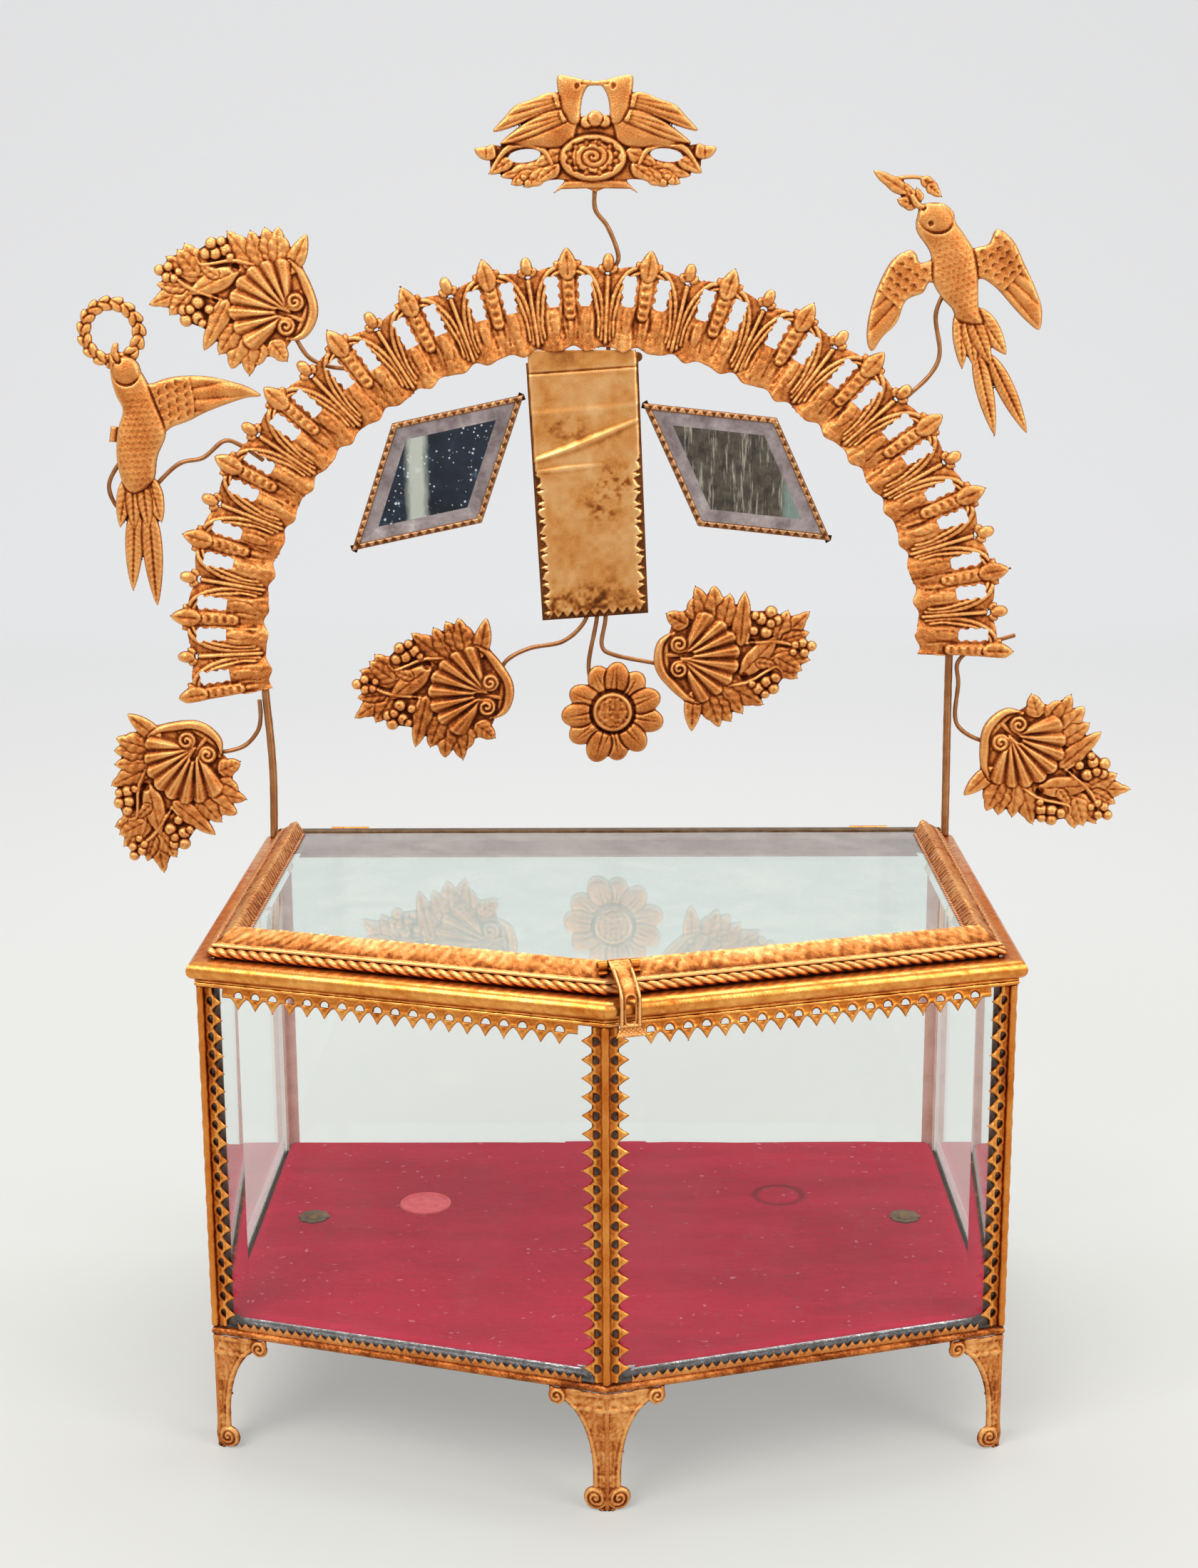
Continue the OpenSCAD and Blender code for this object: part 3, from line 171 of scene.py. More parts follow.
# backdrop: a floor that turns up into a wall through a quarter circle
sweepValues = {"front": -3.2, "bend": 1.6, "radius": 1.0, "high": 3.4, "halfWidth": 4.0, "sink": 0.0002}
turn = np.linspace(0, pi / 2, 24)
along = np.concatenate([[sweepValues["front"]], sweepValues["bend"] + sweepValues["radius"] * np.sin(turn),
                        [sweepValues["bend"] + sweepValues["radius"]]])
rise = np.concatenate([[0], sweepValues["radius"] * (1 - np.cos(turn)), [sweepValues["high"]]])
across = np.array([-1, 1]) * sweepValues["halfWidth"]
sweep = np.stack(np.broadcast_arrays(across[None, :], along[:, None], rise[:, None] - sweepValues["sink"]),
                 -1).reshape(-1, 3)

# matt painted paper: even and pale, it lights itself a little for the rays that see it
paper, tree = newMaterial("mattPaper")
rays = addNode(tree, "LightPath")
seen = addNode(tree, "Math", {0: rays.outputs["Is Camera Ray"], 1: rays.outputs["Is Transmission Ray"]},
               operation="MAXIMUM")
seen = addNode(tree, "Math", {0: seen, 1: rays.outputs["Is Glossy Ray"]}, operation="MAXIMUM")
share = addNode(tree, "Math", {0: seen, 1: studio["ownLight"]}, operation="MULTIPLY")
coord = addNode(tree, "TexCoord")
height = addNode(tree, "SeparateXYZ", {0: coord.outputs["Object"]})
blend = addNode(tree, "MapRange", {"Value": height.outputs["Y"], "From Min": -0.4, "From Max": 1.8})
tone = addNode(tree, "Mix", {0: blend, 6: studio["floor"], 7: studio["backdrop"]}, data_type="RGBA")
matt = addNode(tree, "BsdfDiffuse", {"Color": tone.outputs[2]})
glow = addNode(tree, "Emission", {"Color": tone.outputs[2], "Strength": 1.0})
mixed = addNode(tree, "MixShader", {0: share, 1: matt, 2: glow})
addNode(tree, "OutputMaterial", {"Surface": mixed})
floor = meshObject("floor", sweep, gridFaces(len(along), 2)[:, ::-1], paper)
bpy.context.scene.view_settings.view_transform = "Standard"
print("stage 2: camera, lights and floor")


def agedMetal(name, v):
    # gilt or bare copper alloy: dark in the hollows with grime and painted shade, rubbed bright on the ridges
    # with wear and painted highlight; ambient occlusion adds painted shade and grime in the corners
    material, tree = newMaterial(name)
    at = addNode(tree, "TexCoord").outputs["Object"]
    patches = addNode(tree, "TexNoise", {"Vector": at, "Scale": 1 / (v["patch"] * mm), "Detail": 4,
                                         "Roughness": 0.6})
    grain = addNode(tree, "TexNoise", {"Vector": at, "Scale": 1 / (v["grain"] * mm), "Detail": 2})
    relief = addNode(tree, "Attribute", attribute_name="relief")
    corners = addNode(tree, "AmbientOcclusion", {"Distance": v["dirtShadeReach"] * mm}, samples=6)
    shade = addNode(tree, "Math",
                    {0: patches, 1: v["patchShare"], 2: 0.5 - 0.5 * (v["patchShare"] + v["grainShare"])},
                    operation="MULTIPLY_ADD")
    shade = addNode(tree, "Math", {0: grain, 1: v["grainShare"], 2: shade}, operation="MULTIPLY_ADD")
    shade = addNode(tree, "Math", {0: relief.outputs["Fac"], 1: v["reliefShare"], 2: shade},
                    operation="MULTIPLY_ADD")
    # ambient occlusion darkens the corners: painted shade, with grime
    dirtAndShade = addNode(tree, "Math", {0: corners.outputs["AO"], 1: v["dirtShadeShare"], 2: -v["dirtShadeShare"] * 0.8},
                   operation="MULTIPLY_ADD")
    shade = addNode(tree, "Math", {0: shade, 1: dirtAndShade}, operation="ADD")
    ramp = addNode(tree, "ValToRGB", {0: shade})
    setRamp(ramp, [(0.0, v["hollow"]), (0.32, v["dark"]), (0.55, v["middle"]), (0.95, v["bright"])])
    rough = addNode(tree, "MapRange", {"Value": shade, "From Min": 0.1, "From Max": 0.9,
                                       "To Min": v["rough"][0], "To Max": v["rough"][1]})
    bump = addNode(tree, "Bump", {"Height": grain, "Strength": v["bump"], "Distance": v["grain"] * 0.5 * mm})
    wave = addNode(tree, "Bump", {"Height": patches, "Strength": v["dent"], "Distance": 1.2 * mm,
                                  "Normal": bump})
    skin = addNode(tree, "BsdfPrincipled", {"Base Color": ramp, "Metallic": v["metallic"], "Roughness": rough,
                                            "Normal": wave})
    addNode(tree, "OutputMaterial", {"Surface": skin})
    return material


metals = {
    # thin brass sheet stamped in a die and gilt, now coppery: satin, with brown left in the hollows as grime
    # and painted shade
    "stampedBrass": {
        "patch": 11, "grain": 0.75, "patchShare": 0.75, "grainShare": 0.5, "reliefShare": 0.38,
        "dirtShadeShare": 0.5, "dirtShadeReach": 2.5,
        "hollow": "#3A1506", "dark": "#8C4318", "middle": "#CC7A3A", "bright": "#F2B36C",
        "rough": (0.64, 0.42), "bump": 0.55, "dent": 0.3, "metallic": 0.9},
    # rolled moulding with its gilding better kept: yellow, smooth, brown in the folds as grime and painted
    # shade
    "giltBrass": {
        "patch": 12, "grain": 0.8, "patchShare": 0.6, "grainShare": 0.25, "reliefShare": 0.42,
        "dirtShadeShare": 0.7, "dirtShadeReach": 2.5,
        "hollow": "#301206", "dark": "#86390F", "middle": "#CC7226", "bright": "#F4AC58",
        "rough": (0.5, 0.25), "bump": 0.12, "dent": 0.2, "metallic": 0.95},
    # copper coloured strip and wire: pinker, satin
    "copperStrip": {
        "patch": 7, "grain": 0.5, "patchShare": 0.5, "grainShare": 0.3, "reliefShare": 0.42, "dirtShadeShare": 0.6,
        "dirtShadeReach": 2.0,
        "hollow": "#26100A", "dark": "#7C4024", "middle": "#BF7A4E", "bright": "#F0BC92",
        "rough": (0.55, 0.35), "bump": 0.15, "dent": 0.15, "metallic": 0.9},
    # drawn wire gone brown: darker, a little glossy
    "brownWire": {
        "patch": 6, "grain": 0.5, "patchShare": 0.5, "grainShare": 0.2, "reliefShare": 0.3, "dirtShadeShare": 0.3,
        "dirtShadeReach": 2.0,
        "hollow": "#2A140A", "dark": "#6B3F22", "middle": "#A06A40", "bright": "#D9A473",
        "rough": (0.5, 0.35), "bump": 0.08, "dent": 0.05, "metallic": 0.9},
    # tarnished sheet: brown-black with green-grey bloom
    "darkBrass": {
        "patch": 6, "grain": 0.5, "patchShare": 0.6, "grainShare": 0.3, "reliefShare": 0.4, "dirtShadeShare": 0.3,
        "dirtShadeReach": 2.0,
        "hollow": "#17100A", "dark": "#3E2A18", "middle": "#6A4C2E", "bright": "#A88A5C", "rough": (0.6, 0.4),
        "bump": 0.2, "dent": 0.1, "metallic": 0.85},
    # thin gilt sheet, pressed by hand: satin, with creases and brown-black spots
    "giltSheet": {
        "patch": 14, "grain": 0.6, "patchShare": 0.4, "grainShare": 0.25, "reliefShare": 0.45,
        "dirtShadeShare": 0.4, "dirtShadeReach": 1.5,
        "hollow": "#2A1A10", "dark": "#9C5826", "middle": "#D8924C", "bright": "#FAC88A",
        "rough": (0.55, 0.33), "bump": 0.15, "dent": 0.25, "metallic": 0.9},
    # pressed strip with a fine grain, gilt worn to copper: mottled orange and brown
    "railStrip": {
        "patch": 5, "grain": 0.6, "patchShare": 0.6, "grainShare": 0.35, "reliefShare": 0.5, "dirtShadeShare": 0.6,
        "dirtShadeReach": 2.0,
        "hollow": "#35150A", "dark": "#96501F", "middle": "#D08442", "bright": "#F6BC78",
        "rough": (0.6, 0.38), "bump": 0.3, "dent": 0.15, "metallic": 0.9},
    # copper strip seen through the glass: its pale pink is a painted reflection of the velvet on its shaded
    # back, dull
    "paleStripReflection": {
        "patch": 9, "grain": 0.6, "patchShare": 0.5, "grainShare": 0.3, "reliefShare": 0.2, "dirtShadeShare": 0.0,
        "dirtShadeReach": 1.0,
        "hollow": "#9A6A5C", "dark": "#C09080", "middle": "#DDB5A8", "bright": "#F0D4CA",
        "rough": (0.6, 0.45), "bump": 0.1, "dent": 0.1, "metallic": 0.3},
    # grey edge under the velvet: a painted reflection of the pale floor as the bottom bevel shows it, grey,
    # streaked, half shiny
    "greyEdgeReflection": {
        "patch": 4, "grain": 0.7, "patchShare": 0.7, "grainShare": 0.4, "reliefShare": 0.1, "dirtShadeShare": 0.3,
        "dirtShadeReach": 1.0,
        "hollow": "#2A2624", "dark": "#5E5856", "middle": "#9A9698", "bright": "#D8DADC", "rough": (0.4, 0.2),
        "bump": 0.2, "dent": 0.4, "metallic": 0.8},
}
metal = {name: agedMetal(name, values) for name, values in metals.items()}
print("stage 3: metals")


def reliefGrid(x0, x1, z0, z1, step):
    # flat grid in mm; depth is mm inside the outline, height is mm towards the front
    x, z = np.meshgrid(np.arange(x0, x1 + step, step), np.arange(z0, z1 + step, step))
    return {"x": x, "z": z, "step": step, "depth": np.full(x.shape, -9.0), "height": np.zeros(x.shape)}


def unit(value):
    # kept between 0 and 1
    return np.clip(value, 0, 1)


def bell(value):
    # 1 at 0, and falling off on both sides as e to the minus square
    return np.exp(-value ** 2)


def local(s, a, b):
    # along: 0 at a, 1 at b; across: mm to the left of the line; plus the length
    run = np.subtract(b, a)
    size = np.hypot(*run)
    run = run / size
    x, z = s["x"] - a[0], s["z"] - a[1]
    return (x * run[0] + z * run[1]) / size, z * run[0] - x * run[1], size


def disc(s, c, r):
    # radius less the distance from the centre
    return r - np.hypot(s["x"] - c[0], s["z"] - c[1])


def oval(s, c, rx, rz, tilt=0):
    # one less the scaled radius, times the smaller half axis
    t = radians(tilt)
    x, z = s["x"] - c[0], s["z"] - c[1]
    u, w = x * cos(t) + z * sin(t), z * cos(t) - x * sin(t)
    return (1 - np.hypot(u / rx, w / rz)) * min(rx, rz)


def smoothCurve(points, closed=True, fine=6):
    # Catmull-Rom curve through the points
    p = np.asarray(points, float)
    if not closed:
        p = np.concatenate([p[:1], p, p[-1:]])
    n = len(p)
    start = np.arange(n) if closed else np.arange(1, n - 2)
    a, b, c, d = (p[(start + k) % n][:, None, :] for k in (-1, 0, 1, 2))
    t = (np.arange(fine) / fine)[None, :, None]
    curve = 0.5 * (2 * b + (c - a) * t + (2 * a - 5 * b + 4 * c - d) * t ** 2 + (3 * b - a - 3 * c + d)
                   * t ** 3)
    curve = curve.reshape(-1, p.shape[1])
    return curve if closed else np.concatenate([curve, p[-1:]])


def nearest(s, path, closed):
    # distance to a polyline and the share of its length at the nearest point
    a = np.asarray(path, float)
    b = np.roll(a, -1, 0) if closed else a[1:]
    a = a if closed else a[:-1]
    run = b - a
    size = np.maximum((run ** 2).sum(1), 1e-9)
    x, z = s["x"].ravel()[:, None], s["z"].ravel()[:, None]
    t = unit(((x - a[:, 0]) * run[:, 0] + (z - a[:, 1]) * run[:, 1]) / size)
    gap = np.hypot(x - a[:, 0] - t * run[:, 0], z - a[:, 1] - t * run[:, 1])
    best = gap.argmin(1)
    rows = np.arange(len(best))
    steps = np.sqrt(size)
    share = (np.concatenate([[0], np.cumsum(steps)])[best] + t[rows, best] * steps[best]) / steps.sum()
    return gap[rows, best].reshape(s["x"].shape), share.reshape(s["x"].shape), a, b


def travelled(p):
    # length of a polyline up to each of its points
    return np.concatenate([[0], np.cumsum(np.linalg.norm(np.diff(p, axis=0), axis=1))])


def outlineDepth(s, points, smooth=True):
    # distance to the outline, positive where a ray to the right crosses it an odd number of times
    path = smoothCurve(points) if smooth else np.asarray(points, float)
    gap, _, a, b = nearest(s, path, True)
    x, z = s["x"].ravel()[:, None], s["z"].ravel()[:, None]
    spans = (a[:, 1] > z) != (b[:, 1] > z)
    rise = np.where(b[:, 1] == a[:, 1], 1e-9, b[:, 1] - a[:, 1])
    crosses = spans & (x < (b[:, 0] - a[:, 0]) * (z - a[:, 1]) / rise + a[:, 0])
    inside = (crosses.sum(1) % 2 == 1).reshape(s["x"].shape)
    return np.where(inside, gap, -gap)


def strokeDepth(s, points, width, taper=0.0):
    # half the width less the distance to a smooth path; taper thins both ends
    gap, share, _, _ = nearest(s, smoothCurve(points, closed=False), False)
    return width / 2 * (1 - taper * np.abs(2 * share - 1) ** 2) - gap


def lay(s, depth, base, rise, edge=1.5, texture=0.0):
    # lay a domed shape over what is there: a round shoulder of width edge, then flat
    k = unit(depth / edge)
    top = base + rise * np.sqrt(k * (2 - k)) + texture
    share = unit(depth / 0.5 + 0.5)
    s["height"] = s["height"] * (1 - share) + top * share
    s["depth"] = np.maximum(s["depth"], depth)


def groove(s, gap, width, deep):
    # a soft valley of the given width along gap = 0
    s["height"] = s["height"] - deep * bell(gap / (width / 2))


def pierce(s, depth):
    # a hole wherever depth is over 0
    s["depth"] = np.minimum(s["depth"], -depth)


def layLeaf(s, a, b, width, base, rise=0.9, lobes=3.5, cut=0.18, veins=4, ribbed=0.09, fold=0.3):
    # leaf from a to b: half width follows a sine, broken into lobes; veins slant off a sunk midrib
    t, v, size = local(s, a, b)
    k = unit(t)
    half = 0.54 * width * np.sin(pi * k ** 0.75) ** 0.7 * (
        1 - cut + cut * np.abs(np.sin(pi * lobes * k + 0.4)))
    beyond = np.minimum(t, 1 - t) * size
    depth = np.minimum(half - np.abs(v), beyond + 0.6)
    ribs = ribbed * np.sin(2 * pi * (t * veins - np.abs(v) / size * veins * 0.7 + a[0] * 0.37))
    dent = -fold * bell(v / 0.5)
    lay(s, depth, base, rise, width * 0.36, ribs * unit(depth) + dent * unit(beyond / 2))


def layBerry(s, c, r, base=0.6):
    # a dome with a small dip off its middle
    depth = disc(s, c, r)
    lay(s, depth, base, r * 0.85, r, -0.35 * bell(np.hypot(s["x"] - c[0] - 0.25, s["z"] - c[1] + 0.3) / 0.4))


def blurred(h, reach):
    # mean over a square window, from running sums
    reach = max(int(reach), 1)
    for axis in (0, 1):
        pad = [(reach + 1, reach) if k == axis else (0, 0) for k in (0, 1)]
        total = np.cumsum(np.pad(h, pad, mode="edge"), axis=axis)
        n = h.shape[axis]
        h = (np.take(total, np.arange(2 * reach + 1, 2 * reach + 1 + n), axis)
             - np.take(total, np.arange(n), axis)) / (2 * reach + 1)
    return h


def cellNoise(x, z, cell, seed):
    # random values on a lattice of the given cell, joined smoothly; -1 to 1
    table = np.random.default_rng(seed).uniform(-1, 1, (64, 64))
    i, j = np.floor(x / cell).astype(int), np.floor(z / cell).astype(int)
    u, w = x / cell - i, z / cell - j
    u, w = u * u * (3 - 2 * u), w * w * (3 - 2 * w)
    a, b, c, d = (table[(i + m) % 64, (j + n) % 64] for m, n in ((0, 0), (1, 0), (0, 1), (1, 1)))
    return (a * (1 - u) + b * u) * (1 - w) + (c * (1 - u) + d * u) * w


def scaleRows(along, across, size, deep):
    # overlapping round-ended scales: two sets, each two rows long and half a row out of step
    rows = []
    for k in (0, 1):
        b = (across / size + 0.5 * k) % 1 - 0.5
        rows.append(((along / size + k - 1.6 * b ** 2) / 2) % 1)
    return deep * np.maximum(rows[0], rows[1])


def layWing(s, points, shoulder, tip, base, coverts=0.42, feathers=26):
    # rows of short feathers near the shoulder, then long ones that fan out from behind it
    t, v, size = local(s, shoulder, tip)
    depth = outlineDepth(s, points)
    fan = np.arctan2(v, (t + 0.35) * size)
    long = 0.55 * np.abs(np.sin(fan * feathers)) ** 0.7 * np.clip(t * 2, 0.4, 1)
    short = scaleRows(t * size, v, 3.6, 0.8)
    lay(s, depth, base, 0.9, 2.2, np.where(t + 0.003 * np.abs(v) < coverts, short, long - 0.1) * unit(depth))


def sinkEye(s, c, deep, ball):
    # a round hollow with a ball left standing in it
    s["height"] -= deep * unit(disc(s, c, 1.0) + 0.4) - ball * unit(disc(s, c, 0.45) + 0.3)


def layVolute(s, c, r, way, base, rise, edge, deep, pitch, fade):
    # a boss with a coiled ridge of the given pitch; way is 1 or -1 for its hand
    gap = np.hypot(s["x"] - c[0], s["z"] - c[1])
    spin = np.arctan2((s["z"] - c[1]) * way, s["x"] - c[0])
    coil = deep * np.cos(2 * pi * (gap / pitch - spin / (2 * pi)))
    lay(s, r - gap, base, rise, edge, coil * unit((r - gap) / fade))


def layFeathers(s, rows, base, **look):
    # plain leaves with close slanting veins; rows are (start, end, width)
    for a, b, width in rows:
        layLeaf(s, a, b, width, base, lobes=0.5, cut=0, **look)


def stampedSheet(name, s, toWorld, material, thick=0.45, dirtShadeReach=1.3, columns=None):
    # keeps the cells that touch the inside, pulls their outer corners onto the outline,
    # and lifts every point by its height; toWorld turns (x, z, lift) into metres
    x, z, depth, step = s["x"], s["z"], s["depth"], s["step"]
    inside = depth > 0
    cells = inside[:-1, :-1] | inside[1:, :-1] | inside[:-1, 1:] | inside[1:, 1:]
    slopeZ, slopeX = np.gradient(depth, step)
    steep = np.maximum(slopeX ** 2 + slopeZ ** 2, 0.15)
    pull = np.clip(np.where(inside, 0, -depth) / steep, 0, 1.3 * step)
    px, pz = x + pull * slopeX, z + pull * slopeZ
    height = s["height"] + 0.1
    # tone: height above its blurred surroundings, so hollows darken with grime and painted shade and ridges
    # lighten with wear and painted highlight; the stamping's own tone and painted shade are added
    dirtAndShade = np.clip((height - blurred(height, dirtShadeReach / step)) / 0.35 + s.get("stainAndShade", 0), -1, 1)
    if columns:
        cells[:, :columns[0]] = False
        cells[:, columns[1]:] = False
    used = np.zeros(depth.shape, bool)
    for r in (0, 1):
        for c in (0, 1):
            used[r:r + cells.shape[0], c:c + cells.shape[1]] |= cells
    number = np.cumsum(used).reshape(used.shape) - 1
    rows, columns = np.nonzero(cells)
    faces = np.stack([number[rows, columns], number[rows, columns + 1], number[rows + 1, columns + 1],
                      number[rows + 1, columns]], 1)
    # a mirrored place would turn the sheet inside out
    o, u, w, up = toWorld(*np.array([[0, 0.1, 0, 0], [0, 0, 0.1, 0], [0, 0, 0, 0.1]])
                          - np.array([[0], [1], [0]]))
    if np.dot(np.cross(u - o, w - o), up - o) < 0:
        faces = faces[:, ::-1]
    piece = meshObject(name, toWorld(px[used], pz[used], height[used]), faces, material)
    setTone(piece, dirtAndShade[used])
    wall = piece.modifiers.new("thickness", "SOLIDIFY")
    wall.thickness = thick * mm
    wall.offset = -1
    return piece


crestBack = 112.15  # mm, the back of every stamping
sheetThick = 0.45


def crestPlace(origin, turn=0):
    # (x, z, lift) in the stamping's own mm, turned about its origin, to metres on the crest
    t = radians(turn)

    def place(x, z, lift):
        y = crestBack - sheetThick - lift
        return np.stack([origin[0] + x * cos(t) - z * sin(t), y, origin[1] + x * sin(t) + z * cos(t)], 1) * mm
    return place


def finish(piece, body, slot, *nodes):
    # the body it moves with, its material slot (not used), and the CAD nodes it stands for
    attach(piece, body)
    if nodes:
        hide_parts(*nodes)


def crestPiece(name, s, origin, node, turn=0):
    # one brass stamping of the crest
    piece = stampedSheet(name, s, crestPlace(origin, turn), metal["stampedBrass"])
    finish(piece, "casket", "stamped_brass", node)


print("stage 4: ornaments")

# shell and vine: the shell fans along +x from its hinge near the origin
sprayParts = {
    # laid in this order: start, end, width, base height, lobes
    "leaves": [
        ((1, 13), (-7.5, 18.5), 8, 0.4, 1.5), ((4, 15), (3.5, 24), 7, 0.3, 1.5),
        ((11, 12), (5, 28.5), 9, 0.4, 2.5), ((13, 12), (12.5, 28.5), 9.5, 0.7, 2.5),
        ((15, 11), (19, 24.5), 9, 0.5, 2.5),
        ((21.5, 3), (25, 25), 8, 0.9, 1.5),
        ((36, 3), (50.5, 15), 8, 0.5, 3.5), ((36, 5), (42, 16), 8, 0.7, 2.5),
        ((38, 4), (50, 6.5), 6, 0.4, 2.5),
        ((34, -1), (49.5, -5), 8, 0.4, 2.5), ((33, -3), (44, -12), 9, 0.6, 2.5),
        ((35, -2), (46, -9), 8.5, 0.8, 1.5),
        ((14, -12), (29.5, -22), 9, 0.5, 3.5), ((12, -13), (21, -25), 8.5, 0.7, 2.5),
        ((6, -16), (7, -27), 7, 0.4, 1.5), ((8, -16), (16, -28), 9, 0.6, 2.5),
        ((7, -16), (11, -30), 8, 0.8, 2.5),
        ((1.5, -14), (-0.5, -31), 7, 0.9, 0.5),
        ((21, -9), (37, 6), 8.5, 1.0, 0.5), ((27, -4), (36, -6), 5, 0.8, 1.5),
    ],
    "berries": [
        ((31, 13.5), 2.5), ((35, 16), 2.6), ((37, 12.5), 2.3), ((32.5, 8), 2.6), ((34.5, 11.5), 2.2),
        ((28.5, 15), 1.8), ((27.5, 9), 2.0),
        ((47, 2.5), 2.1), ((50.5, 0.8), 2.2), ((47.5, -1.5), 2.0), ((44, 2), 1.8), ((43, -1), 1.6),
        ((28, -15), 2.5), ((31.5, -12.5), 2.6), ((35, -11), 2.3), ((34, -15.5), 2.5), ((30.5, -17.5), 2.0),
        ((25.5, -13), 1.7),
    ],
    "twigs": [((16, -13), (24, -12), (31, -8.5), (35.5, -6.5), (38, -8.5)),
              ((24, 4), (31, 4), (38, 3.5), (46, 0.5)), ((26, 11), (24.5, 5))],
    "flutes": [-63, -46, -30, -14, 3, 19, 35, 52],
    "shellReach": 24.0,
    "step": 0.41,
}


def sprayRelief(v):
    s = reliefGrid(-15, 54, -33, 31, v["step"])
    ground = outlineDepth(s, [(-7, 9), (-3, 17), (5, 21), (13, 20), (20, 19), (27, 17), (36, 16), (43, 11),
                              (49, 3), (48, -5), (39, -11), (33, -17), (22, -21), (14, -24), (5, -24),
                              (-2, -19), (-8, -10)])
    lay(s, ground, 0.0, 0.25, 2)
    for a, b, width, base, lobes in v["leaves"]:
        layLeaf(s, a, b, width, base, rise=0.9, lobes=lobes)
    for path in v["twigs"]:
        lay(s, strokeDepth(s, path, 1.5, 0.3), 1.3, 0.5, 0.7)
    for c, r in v["berries"]:
        layBerry(s, c, r, 0.8)
    for c, r in (((22.5, -9.5), 1.5), ((26.5, 4.2), 1.2)):
        s["height"] -= 1.4 * unit(disc(s, c, r) + 0.5)
    # C scroll behind the hinge: a tapering rolled band
    lay(s, strokeDepth(s, [(-6.5, 9.5), (-10.5, 6.5), (-12, 0.5), (-11, -5), (-7, -11), (-2, -16.5),
                           (3, -19)], 4.2, 0.55), 0.5, 1.5, 1.9)
    lay(s, strokeDepth(s, [(-5, 10), (-8, 6), (-9, 0), (-8.2, -5), (-5, -9)], 2.2, 0.3), 0.4, 0.5, 1)
    # shell: flutes round in section between sunk lines, the rim rolled into a scallop for each
    edges = np.radians([-74] + [(a + b) / 2 for a, b in zip(v["flutes"], v["flutes"][1:])] + [66])
    centre = (-3.0, 0.0)
    angle = np.arctan2(s["z"] - centre[1], s["x"] - centre[0])
    far = np.hypot(s["x"] - centre[0], s["z"] - centre[1])
    k = np.clip(np.searchsorted(edges, angle) - 1, 0, len(edges) - 2)
    share = unit((angle - edges[k]) / (edges[k + 1] - edges[k]))
    reach = v["shellReach"] * (0.84 + 0.16 * np.cos(angle * 1.1 - 0.05) ** 2) + 1.6 * np.sin(
        pi * share) ** 0.6 - 1.2
    fan = np.minimum(np.minimum(reach - far, (angle - edges[0]) * far + 0.4), (edges[-1] - angle) * far + 0.4)
    swell = np.sin(pi * share) ** 0.75 * unit(far / 9) * 1.5
    finer = 0.12 * np.cos(pi * 6 * share) * unit(far / 14 - 0.4)
    lay(s, fan, 0.5, 0.5, 1.2, swell + finer + 0.7 * unit(1 - far / 20))
    # hinge: two volutes with a bar between
    lay(s, strokeDepth(s, [(-8.5, 1.5), (-4, 1.2), (1.5, 1.2)], 2.0), 0.4, 0.6, 1)
    for c, way in (((-3.2, 5.6), 1), ((-3.8, -4.6), -1)):
        layVolute(s, c, 3.7, way, 1.3, 1.0, 1.4, 0.45, 2.3, 1.0)
    return s


# place, turn, CAD node, and tone: under 0 the whole stamping is browner
sprayRuns = {
    "upperLeft": ((-128.1, 394.4), 161, "spray_upper_left", 0.12),
    "lowerLeft": ((-171.9, 215.3), 238, "spray_lower_left", -0.12),
    "lowerRight": ((166.9, 220.3), -40, "spray_lower_right", -0.05),
    "innerLeft": ((-52.6, 240.6), 175, "spray_inner_left", -0.45),
    "innerRight": ((32.4, 255.1), 4, "spray_inner_right", -0.25),
}
sprayShape = sprayRelief(sprayParts)
for name, (origin, turned, node, tone) in sprayRuns.items():
    crestPiece("spray." + name, dict(sprayShape, stainAndShade=tone), origin, node, turned)

# pair of doves: one half is worked out and mirrored, then the medallion and stem are laid over it
doveRun = {"origin": (-4.2, 452.4), "step": 0.37, "rose": 7.4}


